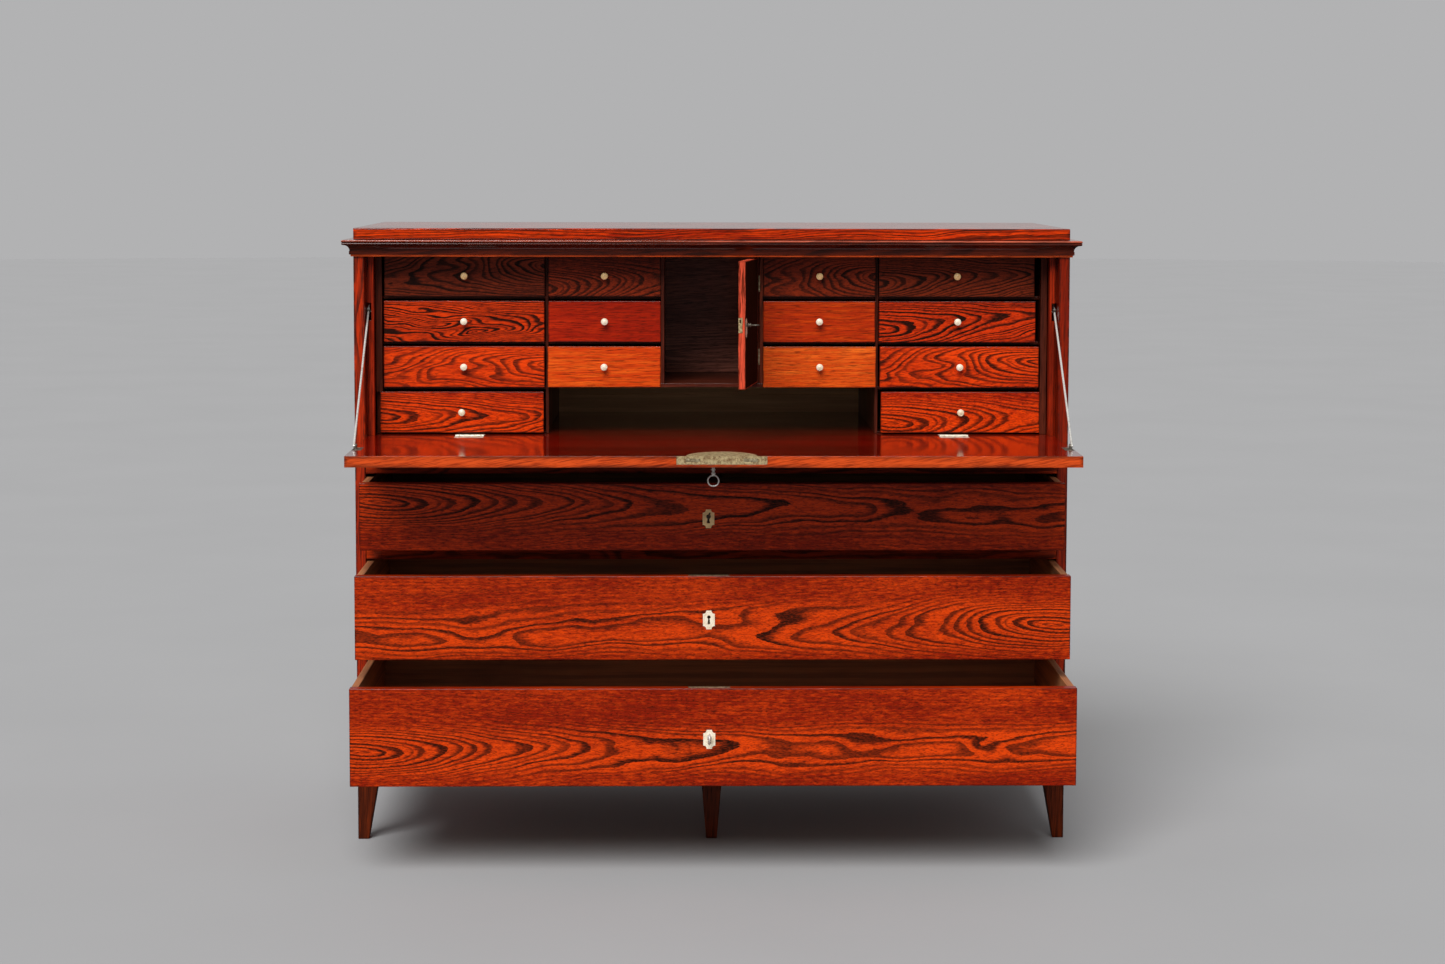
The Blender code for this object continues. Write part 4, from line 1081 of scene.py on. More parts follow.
def screw_pattern() -> Pattern:
    """Makes the tree of slotted screw heads. The groove's cutter stands a little above the head.

    Returns:
        The pattern.
    """
    pattern = Pattern("screw heads", {"Head radius": 0.0022, "Head height": 0.0008,
                                      "Slot width": 0.0005})
    radius = Value(pattern, pattern.size("Head radius"))
    height = Value(pattern, pattern.size("Head height"))
    head = pattern.node("GeometryNodeMeshCylinder", {},
                        {"Vertices": 20, "Radius": radius, "Depth": height})
    size = pattern.node("ShaderNodeCombineXYZ", {},
                        {"X": radius * 3.0, "Y": pattern.size("Slot width"), "Z": height})
    groove = pattern.node("GeometryNodeMeshCube", {}, {"Size": size.outputs[0]})
    lift = pattern.node("ShaderNodeCombineXYZ", {}, {"Z": height * 0.55})
    raised = pattern.node("GeometryNodeTransform", {},
                          {"Geometry": groove.outputs[0], "Translation": lift.outputs[0]})
    cut = pattern.node("GeometryNodeMeshBoolean", {"operation": "DIFFERENCE"},
                       {0: head.outputs[0], 1: raised.outputs[0]})
    pattern.end(cut.outputs[0])
    return pattern


def dovetail_pattern() -> Pattern:
    """Makes the tree of dovetail pins, flat wedges of the front's wood in a drawer side.

    Returns:
        The pattern.
    """
    pattern = Pattern("dovetail pins", {"Pin length": 0.012, "Wide end": 0.010,
                                        "Narrow end": 0.005, "Pin depth": 0.0006})
    shape = pattern.node("GeometryNodeCurvePrimitiveQuadrilateral", {"mode": "TRAPEZOID"},
                         {"Height": pattern.size("Pin length"),
                          "Bottom Width": pattern.size("Wide end"),
                          "Top Width": pattern.size("Narrow end"), "Offset": 0.0})
    face = pattern.node("GeometryNodeFillCurve", {}, {0: shape.outputs[0]})
    solid = pattern.node("GeometryNodeExtrudeMesh", {"mode": "FACES"},
                         {"Mesh": face.outputs[0], "Offset Scale": pattern.size("Pin depth"),
                          "Individual": False})
    under = pattern.node("GeometryNodeFlipFaces", {}, {0: face.outputs[0]})
    joined = pattern.node("GeometryNodeJoinGeometry", {}, {})
    for part in (solid, under):
        pattern.feed(joined, {0: part.outputs[0]})
    sealed = pattern.node("GeometryNodeMergeByDistance", {}, {"Geometry": joined.outputs[0],
                                                              "Distance": 0.00001})
    pattern.end(sealed.outputs[0])
    return pattern


# Small parts that several sub-assemblies share

@dataclass(frozen=True)
class Escutcheon:
    """A bone shield let in around a keyhole, with hollowed corners and an engraved oval."""

    width: float = 0.0200
    height: float = 0.0320
    thick: float = 0.0020
    corner: float = 0.0046
    step: float = 0.0009
    hole_r: float = 0.0030
    hole_foot: float = 0.0125
    hole_waist: float = 0.0013
    hole_foot_half: float = 0.0023
    oval_width: float = 0.72
    oval_height: float = 0.82
    line: float = 0.0005
    ease: float = 0.00025

    @property
    def drop(self) -> float:
        """Returns how far the shield's middle lies below the keyhole's head."""
        return (self.hole_foot - self.hole_r) / 2

    def outline(self, grow: float = 0.0) -> List[Pair]:
        """Returns the outer edge around the keyhole's head, with its corners hollowed.

        Args:
            grow: How much larger than the shield.

        Returns:
            The points, across and up.
        """
        half_w, half_h = self.width / 2 + grow, self.height / 2 + grow
        centre_w, centre_h = half_w - self.step, half_h - self.step
        turns = [math.radians(turn) for turn in range(270, 179, -18)]
        quarter = [(half_w, centre_h - self.corner),
                   *[(centre_w + self.corner * math.cos(turn), centre_h + self.corner * math.sin(turn))
                     for turn in turns],
                   (centre_w - self.corner, half_h)]
        points = []
        for sign_w, sign_h in ((1, 1), (-1, 1), (-1, -1), (1, -1)):
            points += [(sign_w * across, sign_h * up - self.drop)
                       for across, up in quarter[::sign_w * sign_h]]
        return points

    def keyhole(self, grow: float = 0.0) -> List[Pair]:
        """Returns the keyhole's edge around its head.

        Args:
            grow: How much larger than the hole.

        Returns:
            The points, across and up.
        """
        radius, foot, low = self.hole_r + grow, self.hole_foot_half + grow, self.hole_foot + grow
        neck = math.asin(self.hole_waist / radius)
        turns = [neck - QUARTER + (math.tau - 2 * neck) * step / 24 for step in range(25)]
        return [*[(radius * math.cos(turn), radius * math.sin(turn)) for turn in turns],
                (-foot, -low), (foot, -low)]

    def oval(self, grow: float) -> List[Pair]:
        """Returns the edge of the engraved oval.

        Args:
            grow: How much larger than the oval.

        Returns:
            The points, across and up.
        """
        half_w = self.width * self.oval_width / 2 + grow
        half_h = self.height * self.oval_height / 2 + grow
        turns = [math.tau * step / 48 for step in range(48)]
        return [(half_w * math.cos(turn), half_h * math.sin(turn) - self.drop) for turn in turns]

    def shape(self) -> bmesh.types.BMesh:
        """Builds the shield facing the -Y way, with its keyhole's head at the origin.

        Returns:
            The shield.
        """
        plate = extrusion(self.outline(), Axis.Y, 0, self.thick)
        groove = carved(extrusion(self.oval(self.line), Axis.Y, -OVERRUN, self.line),
                        [extrusion(self.oval(0.0), Axis.Y, -OVERRUN * 2, OVERRUN)])
        hole = extrusion(self.keyhole(), Axis.Y, -OVERRUN, self.thick + OVERRUN)
        return carved(plate, [groove, hole], self.ease, 1)


@dataclass(frozen=True)
class Key:
    """A plain iron key with a wire bow."""

    out: float
    into: float
    shaft: float = 0.0026
    bow: float = 0.0083
    wire: float = 0.0012
    bit: float = 0.0068
    bit_length: float = 0.0030
    bit_width: float = 0.0018
    collar: float = 0.0011
    thin: float = 0.86
    tip: float = 0.9
    lead: float = 0.0004
    boss: float = 0.95

    def shape(self) -> bmesh.types.BMesh:
        """Builds the key pointing out along -Y from the origin, its bit hanging along -Z.

        Returns:
            The key.
        """
        neck = self.out - 2 * self.bow - self.wire * 2
        mesh = bmesh.new()
        swell, thin = self.shaft + self.collar, self.shaft * self.thin
        boss = swell * self.boss
        rings = ((0.42, self.shaft), (0.44, swell), (0.52, swell), (0.55, thin), (0.74, thin),
                 (0.78, boss), (0.90, boss), (1.0, thin))
        turned(mesh, [(-self.into, self.shaft * self.tip), (self.lead - self.into, self.shaft),
                      *[(neck * share, radius) for share, radius in rings],
                      (neck + self.wire, self.wire)], ORIGIN, OUTWARDS, 28)
        hoop(mesh, Vector((0, -(neck + self.wire * 0.6 + self.bow), 0)), self.bow, self.wire)
        block(mesh, (-self.bit_width / 2, self.into - self.bit_length, -self.shaft - self.bit),
              (self.bit_width / 2, self.into, -self.shaft / 2), 0.0002)
        return mesh


def metal(name: str, bright: Colour, tarnish: Colour, **looks: float) -> Field:
    """Returns a field of Stock that makes the material of a metal."""
    return field(default_factory=lambda: Metal(name, bright, tarnish, **looks).material())


@dataclass
class Stock:
    """The finishes and patterns that the sub-assemblies take from."""

    bone: bpy.types.Material = field(default_factory=lambda: Bone("bone, cream").material())
    # A yellower copy of the bone, used only where shade falls, on the top row's knobs and the upper
    # drawer's shield: its tone is painted shade
    bone_for_shade: bpy.types.Material = field(default_factory=lambda: Bone(
        "bone, yellowed", srgb(240, 204, 146), srgb(206, 160, 98)).material())
    brass: bpy.types.Material = metal("brass, rubbed", srgb(206, 192, 156), srgb(112, 96, 68),
                                      shine=0.75)
    mottled: bpy.types.Material = metal("brass, mottled", srgb(214, 192, 144), srgb(116, 88, 54),
                                        scale=230.0, cover=0.50, roughness=0.42, tarnish_metal=0.5,
                                        shine=0.6)
    pale: bpy.types.Material = metal("brass, pale", srgb(232, 226, 208), srgb(140, 126, 98),
                                     scale=420.0, cover=0.46, roughness=0.36, tarnish_metal=0.5,
                                     shine=0.35)
    iron: bpy.types.Material = metal("iron, bright", srgb(236, 234, 228), srgb(170, 164, 152),
                                     scale=120.0, cover=0.40, roughness=0.26, tarnish_metal=0.9,
                                     shine=0.5)
    dull: bpy.types.Material = metal("iron, brown", srgb(128, 120, 108), srgb(58, 50, 42),
                                     scale=200.0, cover=0.50, roughness=0.45, tarnish_metal=0.6,
                                     shine=0.8)
    tray: bpy.types.Material = field(default_factory=lambda: Lining(
        "softwood, small drawers", Axis.Y).material())
    bottom: bpy.types.Material = field(default_factory=lambda: Lining(
        "softwood, long drawer bottoms", Axis.X).material())
    pin: bpy.types.Material = field(default_factory=lambda: Ash(
        "ash, dovetail pins", Axis.X, (0.0, 0.3, 0.2), ring=0.002, gloss=0.2).material())
    screws: Pattern = field(default_factory=screw_pattern)
    dovetails: Pattern = field(default_factory=dovetail_pattern)
    shield: Escutcheon = field(default_factory=Escutcheon)


# Sub-assemblies

@dataclass(frozen=True)
class Moulding:
    """The section of the cornice: lip, bead, cove and foot. Shares are of its height."""

    lip: float = 0.0018
    fillet: float = 0.13
    bead: float = 0.075
    quirk: float = 0.0012
    groove: float = 0.0004
    bead_set: float = 0.55
    bead_drop: float = 1.15
    cove_out: float = 0.0035
    cove_in: float = 0.0058
    cove_low: float = 0.34
    foot: float = 0.0067
    foot_low: float = 0.13
    toe: float = 0.0042
    toe_high: float = 0.11

    def section(self, out: float, low: float, high: float) -> List[Pair]:
        """Returns the section's outline.

        Args:
            out: How far it stands out.
            low: Its lowest level.
            high: Its highest level.

        Returns:
            Pairs of distance from the chest and level.
        """
        tall = high - low
        radius = tall * self.bead
        under = high - tall * self.fillet
        lip_out, lip_high = out - self.lip, high - self.lip
        turns = [math.radians(22.5 * step) for step in range(5)]
        points = [(GAP, high)] + [(lip_out + self.lip * math.sin(turn),
                                   lip_high + self.lip * math.cos(turn)) for turn in turns]
        points += [(out, under), (out - self.quirk, under - self.groove)]
        middle = under - self.groove - radius
        bead_out = out - self.quirk - radius * self.bead_set
        turns = [math.radians(60 - 30 * step) for step in range(6)]
        points += [(bead_out + radius * math.cos(turn), middle + radius * math.sin(turn))
                   for turn in turns]
        top, outer, inner = middle - radius * self.bead_drop, out - self.cove_out, self.cove_in
        bottom = low + tall * self.cove_low
        turns = [QUARTER * step / 8 for step in range(9)]
        points += [(outer - (outer - inner) * math.sin(turn), bottom + (top - bottom) * math.cos(turn))
                   for turn in turns]
        return points + [(self.foot, bottom - 0.0002), (self.foot, low + tall * self.foot_low),
                         (self.toe, low + tall * self.toe_high), (self.toe, low + 0.0004),
                         (self.toe - 0.0004, low), (GAP, low)]


@dataclass
class Carcass:
    """The chest: sides, top, cornice, back, rails, base and feet."""

    ease: float = 0.0012
    top_ease: float = 0.0018
    plank_ease: float = 0.0010
    rail_ease: float = 0.0008
    planks: int = 6
    # Heights of the painted highlights on the cornice's lip and foot
    lip_light: float = 0.0024
    foot_light: float = 0.0034
    body: str = "cabinet"
    moulding: Moulding = Moulding()

    def build(self) -> None:
        """Builds every fixed board of the chest."""
        self.top()
        self.cornice()
        self.sides()
        self.back()
        self.base()
        self.rails()

    def add(self, name: str, mesh: bmesh.types.BMesh, finish: Ash, node: str) -> None:
        """Adds one stained piece of the chest."""
        piece(name, mesh, finish.material(), self.body, (node,))

    def top(self) -> None:
        """Lays the top board over the sides."""
        box = Box.of("top_board")
        finish = Ash("ash, top board", Axis.X, (-0.2, 0.30, 1.000), (0.06, 0.03), 0.0036, 0.012,
                     strength=1.2, plain=0.75, gloss=0.9, roughness=0.24, rim=box, rim_width=0.006)
        self.add("top_board_dressed", board(box.lo, box.hi, self.top_ease, 3), finish, "top_board")

    def cornice(self) -> None:
        """Runs the moulding round the front and both sides, mitred at the corners."""
        box, side = Box.of("cornice"), Box.of("side_right")
        half, wall = side.hi.x, side.lo.y
        section = self.moulding.section(box.hi.x - half, box.lo.z, box.hi.z)
        mesh = bmesh.new()
        corners = ((-1, 0, box.hi.y), (-1, -1, wall), (1, -1, wall), (1, 0, box.hi.y))
        skin(mesh, [[mesh.verts.new((sign_x * (half + reach), along + sign_y * reach, level))
                     for reach, level in section] for sign_x, sign_y, along in corners])
        # Painted highlights: a pale band on the lip and an orange one on the foot, where light catches
        # the moulding
        lip_painted_highlight = Band(box.hi.z - self.lip_light, SKY, srgb(190, 92, 66), srgb(120, 44, 26), 0.0003)
        foot_painted_highlight = Band(0.0, box.lo.z + self.foot_light, srgb(214, 82, 26), srgb(140, 40, 8), 0.0003)
        # The cornice's dark colours are partly its own darker stain, partly painted shade on the
        # downward-facing moulding
        finish = Ash("ash, cornice", Axis.X, (0.1, -0.12, 1.03), (0.02, 0.05), 0.005, 0.008,
                     srgb(88, 28, 12), srgb(44, 14, 8), srgb(22, 8, 5), strength=0.7, gloss=0.8,
                     roughness=0.26, bands=(lip_painted_highlight, foot_painted_highlight))
        self.add("cornice_moulding", mesh, finish, "cornice")

    def sides(self) -> None:
        """Stands up the two sides."""
        for side in Side:
            name = f"side_{side.value}"
            box = Box.of(name)
            finish = Ash(f"ash, {name}", Axis.Z, (side.sign * 0.66, 0.10, 0.55), (0.05, 0.04), 0.0048,
                         0.012, srgb(182, 46, 2), srgb(120, 22, 0), strength=0.7, gloss=0.6, rim=box)
            self.add(f"{name}_board", board(box.lo, box.hi, self.ease), finish, name)

    def back(self) -> None:
        """Closes the back with level softwood planks, edge to edge."""
        box = Box.of("back_panel")
        mesh = bmesh.new()
        width = (box.hi.z - box.lo.z) / self.planks
        for index in range(self.planks):
            low = box.lo.z + index * width
            block(mesh, (box.lo.x, box.lo.y, low), (box.hi.x, box.hi.y, low + width), self.plank_ease)
        # Paler than the drawer softwood: partly bare pine's own paleness, partly painted light that
        # lifts the shade seen through the pigeonhole
        finish = Lining("softwood, back", Axis.X, srgb(232, 176, 122), srgb(190, 134, 84))
        piece("back_planks", mesh, finish.material(), self.body, ("back_panel",))

    def base(self) -> None:
        """Adds the base board and the tapered feet."""
        # The base keeps the usual stain above the feet's tops and is darker below them: painted shade
        # under the pulled-out lower drawer, as on the feet
        above = Band(Box.of("foot_left").hi.z, SKY, STAIN_BRIGHT, STAIN_RED, calm=0.0)
        finish = Ash("ash, base", Axis.X, (0.3, 0.05, 0.02), (0.04, 0.03), bright=FOOT_PAINTED_SHADE_BRIGHT,
                     red=FOOT_PAINTED_SHADE_RED, bands=(above,))
        self.add("base", refined("base_board", self.rail_ease), finish, "base_board")
        for name, heart in (("foot_left", -0.62), ("foot_middle", 0.03), ("foot_right", 0.64)):
            finish = Ash(f"ash, {name}", Axis.Z, (heart, 0.03, 0.06), (0.06, 0.05), 0.0045, 0.006,
                         FOOT_PAINTED_SHADE_BRIGHT, FOOT_PAINTED_SHADE_RED, strength=0.5, rim=Box.of(name), rim_width=0.003)
            self.add(f"{name}_tapered", refined(name, self.ease), finish, name)

    def rails(self) -> None:
        """Adds the rails between the drawers and under the fall."""
        for index, name in enumerate(("drawer_frame_lower", "drawer_frame_upper", "waist_frame")):
            # Darker than the drawer fronts: painted shade on the rails, which sit back between the
            # pulled-out drawers
            heart = (0.2 - 0.3 * index, 0.06, Box.of(name).centre.z)
            finish = Ash(f"ash, {name}", Axis.X, heart, (0.04, 0.01), bright=srgb(172, 48, 3),
                         red=srgb(106, 20, 1), strength=0.8)
            self.add(f"{name}_rail", refined(name, self.rail_ease), finish, name)


@dataclass
class Gallery:
    """The fixed woodwork behind the fall, board by board."""

    side: float = 0.0112
    niche_half: float = 0.0842
    niche_side: float = 0.0057
    inner_column: float = 0.1990
    partition: float = 0.0052
    recess: float = 0.0125
    deep: float = 0.0260
    top: float = 0.0100
    shelf: float = 0.0065
    divider: float = 0.0055
    niche_depth: float = 0.2620
    niche_back: float = 0.0060
    lap: float = 0.0103
    outer_rows: int = 4
    inner_rows: int = 3
    ease: float = 0.0005
    floor_ease: float = 0.0006
    body: str = "cabinet"
    case: Box = field(default_factory=lambda: Box.of("gallery"))

    @property
    def rows(self) -> List[Box]:
        """Returns the boxes of an outer column of drawers, from the top."""
        return [Box.of(f"small_drawer_outer_left_{row + 1}") for row in range(self.outer_rows)]

    @property
    def column_in(self) -> float:
        """Returns how far from the middle the inner column starts."""
        return self.niche_half + self.niche_side

    @property
    def wall(self) -> float:
        """Returns how far from the middle the partition starts."""
        return self.column_in + self.inner_column

    @property
    def shelf_low(self) -> float:
        """Returns the level of the shelf's underside."""
        return self.rows[self.inner_rows - 1].lo.z + GAP

    @property
    def ceiling(self) -> float:
        """Returns the level of the gallery top's underside."""
        return self.case.hi.z - self.top

    def build(self) -> None:
        """Builds uprights, niche back, boards, linings and the writing floor."""
        self.uprights()
        self.niche()
        self.boards()
        self.linings()
        self.floor()

    def add(self, name: str, mesh: bmesh.types.BMesh, finish: Ash, node: str = "gallery") -> None:
        """Adds one stained piece of the gallery."""
        piece(name, mesh, finish.material(), self.body, (node,))

    def uprights(self) -> None:
        """Stands the gallery's sides, partitions and niche sides. The left side is notched."""
        case, head = self.case, self.ceiling - GAP
        mesh = bmesh.new()
        for side in Side:
            for near, far, set_back, foot in (
                    (case.hi.x - self.side, case.hi.x, 0.0, case.lo.z),
                    (self.wall, self.wall + self.partition, self.recess, case.lo.z),
                    (self.niche_half, self.column_in, 0.0, self.shelf_low + self.shelf + GAP)):
                left, right = sorted((side.sign * near, side.sign * far))
                if side is Side.LEFT and near > self.wall + self.partition:
                    lip, top = case.lo.y + self.lap + GAP, self.rows[-1].hi.z + GAP
                    block(mesh, (left, lip, foot), (right, case.hi.y, head), self.ease)
                    block(mesh, (left, case.lo.y, top), (right, lip + GAP, head), self.ease)
                else:
                    block(mesh, (left, case.lo.y + set_back, foot), (right, case.hi.y, head),
                          self.ease)
        self.add("gallery_uprights", mesh, Ash(
            "ash, gallery uprights", Axis.Z, (0.05, 0.16, 0.88), (0.05, 0.04), 0.0042,
            bright=INNER_PAINTED_SHADE_BRIGHT, red=INNER_PAINTED_SHADE_RED, strength=0.6))

    def niche(self) -> None:
        """Closes the back of the niche."""
        half, back = self.niche_half - GAP, self.case.lo.y + self.niche_depth
        mesh = board((-half, back, self.shelf_low + self.shelf + GAP),
                     (half, back + self.niche_back, self.ceiling - GAP), self.ease)
        # Paler than the uprights round it: painted light that lifts the shade inside the niche
        self.add("niche_back", mesh, Ash(
            "ash, niche back", Axis.X, (0.02, 0.30, 0.84), (0.05, 0.04), 0.0055,
            bright=srgb(176, 104, 84), red=srgb(120, 66, 54), strength=0.5))

    def boards(self) -> None:
        """Lays the gallery's top, shelf, dividers and slips."""
        case, shelf, wall = self.case, self.shelf_low, self.wall
        front, back = case.lo.y, case.hi.y
        mesh = bmesh.new()
        for lo, hi in (((case.lo.x, front, self.ceiling), (case.hi.x, back, case.hi.z)),
                       ((GAP - wall, front + self.recess, shelf),
                        (wall - GAP, back, shelf + self.shelf)),
                       ((-self.column_in, front, shelf),
                        (self.column_in, front + self.recess + GAP, shelf + self.shelf))):
            block(mesh, lo, hi, self.ease)
        for row, box in enumerate(self.rows, 1):
            top = box.lo.z - GAP
            low = top - self.divider if row < self.outer_rows else case.lo.z
            spans = [(wall + self.partition + GAP, case.hi.x - self.side - GAP)]
            if row < self.inner_rows:
                spans.append((self.column_in + GAP, wall - GAP))
            for near, far in spans:
                for side in Side:
                    left, right = sorted((side.sign * near, side.sign * far))
                    block(mesh, (left, front + self.deep, low), (right, back, top), self.ease)
        self.add("gallery_boards", mesh, Ash(
            "ash, gallery boards", Axis.X, (0.1, 0.25, 0.95), (0.03, 0.05), 0.0045,
            bright=INNER_PAINTED_SHADE_BRIGHT, red=INNER_PAINTED_SHADE_RED, strength=0.6))

    def linings(self) -> None:
        """Adds the case top and the strips that the stays run beside."""
        self.add("lining_strips", refined("lining_frame", self.ease), Ash(
            "ash, lining strips", Axis.Z, (-0.55, 0.12, 0.90), (0.04, 0.03), 0.0045,
            bright=srgb(184, 46, 6), red=srgb(112, 22, 1), strength=0.55), "lining_frame")

    def floor(self) -> None:
        """Adds the fixed half of the writing surface."""
        self.add("writing_floor_board", refined("writing_floor", self.floor_ease), Ash(
            "ash, writing floor", Axis.X, (0.15, 0.30, 0.66), (0.03, 0.06), 0.005, 0.012,
            srgb(150, 30, 4), srgb(96, 14, 2), strength=0.45, gloss=1.0, roughness=0.22),
            "writing_floor")


@dataclass(frozen=True)
class Front:
    """How the wood of one drawer front was cut: where the heart lay and how it leant."""

    heart: Triple
    lean: Pair
    ring: float = 0.0043
    wave: float = 0.008
    strength: float = 1.0
    bright: Colour = STAIN_BRIGHT
    red: Colour = STAIN_RED
    reach: float = 0.055
    rim_width: float = 0.0018

    def finish(self, name: str, box: Box) -> bpy.types.Material:
        """Makes the front's material.

        Args:
            name: The front's name.
            box: The front's box. The heart is placed from the middle of its outer face.

        Returns:
            The material.
        """
        heart = Vector((box.centre.x, box.lo.y, box.centre.z)) + Vector(self.heart)
        return Ash(f"ash, {name}", Axis.X, tuple(heart), self.lean, self.ring, self.wave,
                   self.bright, self.red, strength=self.strength, reach=self.reach, rim=box,
                   rim_width=self.rim_width).material()


@dataclass
class SmallDrawers:
    """Fourteen small drawers with turned knobs. The two over the pigeonhole have deeper fronts."""

    stock: Stock
    front: float = 0.0100
    ease: float = 0.0006
    wall: float = 0.0050
    wall_ease: float = 0.0004
    floor: float = 0.0030
    drop: float = 0.0040
    play: float = 0.0040
    lip: float = 0.0070
    lipped: Tuple[str, ...] = ("inner_left_3", "inner_right_3")
    knob_out: float = 0.0140
    knob_r: float = 0.0062
    length: float = 0.380
    cuts: Dict[str, Front] = field(default_factory=lambda: {
        # Painted shade: the top row's fronts (the _1 entries) take darker colours where the cornice
        # shades them
        "outer_left_1": Front((0.20, 0.0, 0.012), (0.15, 0.02), 0.0028, 0.012, 1.1,
                              srgb(122, 42, 16), srgb(74, 24, 11)),
        "outer_left_2": Front((0.03, 0.012, 0.002), (0.10, 0.03), 0.0024, 0.034, 1.2,
                              srgb(214, 58, 2), srgb(120, 20, 0)),
        "outer_left_3": Front((0.25, 0.0, -0.004), (0.09, 0.02), 0.0030, 0.014, 0.9),
        "outer_left_4": Front((-0.175, 0.0, -0.004), (0.13, -0.02), 0.0040, 0.014),
        "inner_left_1": Front((-0.14, 0.0, -0.020), (0.24, 0.04), 0.0034, 0.012,
                              bright=ROW1_PAINTED_SHADE_BRIGHT, red=ROW1_PAINTED_SHADE_RED),
        "inner_left_2": Front((0.0, 0.10, -0.10), (0.05, 0.02), 0.0046, 0.008, 0.60,
                              srgb(196, 44, 3), srgb(150, 24, 1)),
        "inner_left_3": Front((0.0, 0.12, -0.09), (0.03, 0.02), 0.0050, 0.008, 0.55,
                              srgb(250, 112, 26), srgb(204, 60, 4)),
        "inner_right_1": Front((0.15, 0.0, -0.006), (0.20, 0.03), 0.0036, 0.012,
                               bright=ROW1_PAINTED_SHADE_BRIGHT, red=ROW1_PAINTED_SHADE_RED),
        "inner_right_2": Front((0.0, 0.13, 0.10), (0.04, 0.02), 0.0046, 0.007, 0.60,
                               srgb(226, 82, 6), srgb(176, 44, 1)),
        "inner_right_3": Front((0.0, 0.12, 0.09), (0.04, 0.02), 0.0048, 0.007, 0.50,
                               srgb(252, 122, 34), srgb(206, 70, 8)),
        "outer_right_1": Front((-0.19, 0.0, -0.010), (0.16, 0.03), 0.0030, 0.014, 1.1,
                               srgb(126, 42, 14), srgb(76, 24, 10)),
        "outer_right_2": Front((-0.165, 0.0, -0.010), (0.17, 0.06), 0.0042, 0.018, 1.2,
                               srgb(210, 54, 2), srgb(118, 18, 0)),
        "outer_right_3": Front((0.18, 0.0, 0.006), (0.14, 0.05), 0.0034, 0.014),
        "outer_right_4": Front((-0.13, 0.0, -0.018), (0.22, 0.02), 0.0046, 0.010),
    })

    def build(self) -> None:
        """Builds every small drawer."""
        for name, cut in self.cuts.items():
            self.drawer(name, cut)

    def drawer(self, name: str, cut: Front) -> None:
        """Builds one drawer: its front, its tray and its knob.

        Args:
            name: The last words of the CAD node's name.
            cut: How its front was cut.
        """
        node = f"small_drawer_{name}"
        body = f"{node}_body"
        box = Box.of(node)
        plane = box.lo.y + self.knob_out
        face = Box(Vector((box.lo.x, plane, box.lo.z)),
                   Vector((box.hi.x, plane + self.front, box.hi.z)))
        piece(f"{node}_front", board(face.lo, face.hi, self.ease), cut.finish(node, face), body,
              (node,))
        tray = self.tray(face, self.lip if name in self.lipped else 0.0)
        piece(f"{node}_tray", tray, self.stock.tray, body, (node,))
        knob = bmesh.new()
        turned(knob, self.knob_profile(), (face.centre.x, plane, face.centre.z), OUTWARDS)
        # The top row's knobs take the yellower bone: painted shade under the cornice
        bone = self.stock.bone_for_shade if name.endswith("_1") else self.stock.bone
        piece(f"{node}_knob", knob, bone, body, (node,), smooth=True)

    def tray(self, face: Box, lip: float) -> bmesh.types.BMesh:
        """Builds the box behind a front.

        Args:
            face: The front's box.
            lip: How far the front hangs below it.

        Returns:
            Its two sides, back and bottom.
        """
        left, right = face.lo.x + self.play, face.hi.x - self.play
        front, back = face.hi.y, face.lo.y + self.length
        low, rim = face.lo.z + lip, face.hi.z - self.drop
        inner_left, inner_right, inner_back = left + self.wall, right - self.wall, back - self.wall
        mesh = bmesh.new()
        for lo, hi in (((left, front, low), (inner_left, back, rim)),
                       ((inner_right, front, low), (right, back, rim)),
                       ((inner_left, inner_back, low), (inner_right, back, rim)),
                       ((inner_left, front, low), (inner_right, inner_back, low + self.floor))):
            block(mesh, lo, hi, self.wall_ease)
        return mesh

    def knob_profile(self) -> List[Pair]:
        """Returns the knob's section: neck, flared button, ring groove and centre dot.

        Returns:
            Pairs of distance from the front and radius.
        """
        end, wide = self.knob_out - 0.0002, self.knob_r
        neck = [(0.0, 0.62), (0.0010, 0.66), (0.0020, 0.50), (0.0042, 0.46), (0.0058, 0.62)]
        button = [(0.0074, 0.93), (0.0090, 1.0), (0.0108, 1.0), (0.0119, 0.95), (0.0126, 0.84)]
        groove = [(0.0129, 0.72), (0.0125, 0.66), (0.0130, 0.59)]
        dot = [(end - 0.0004, 0.34), (end - 0.0003, 0.22), (end - 0.0007, 0.18), (end, 0.13),
               (end, 0.04)]
        return [(along, wide * share) for along, share in neck + button + groove + dot]


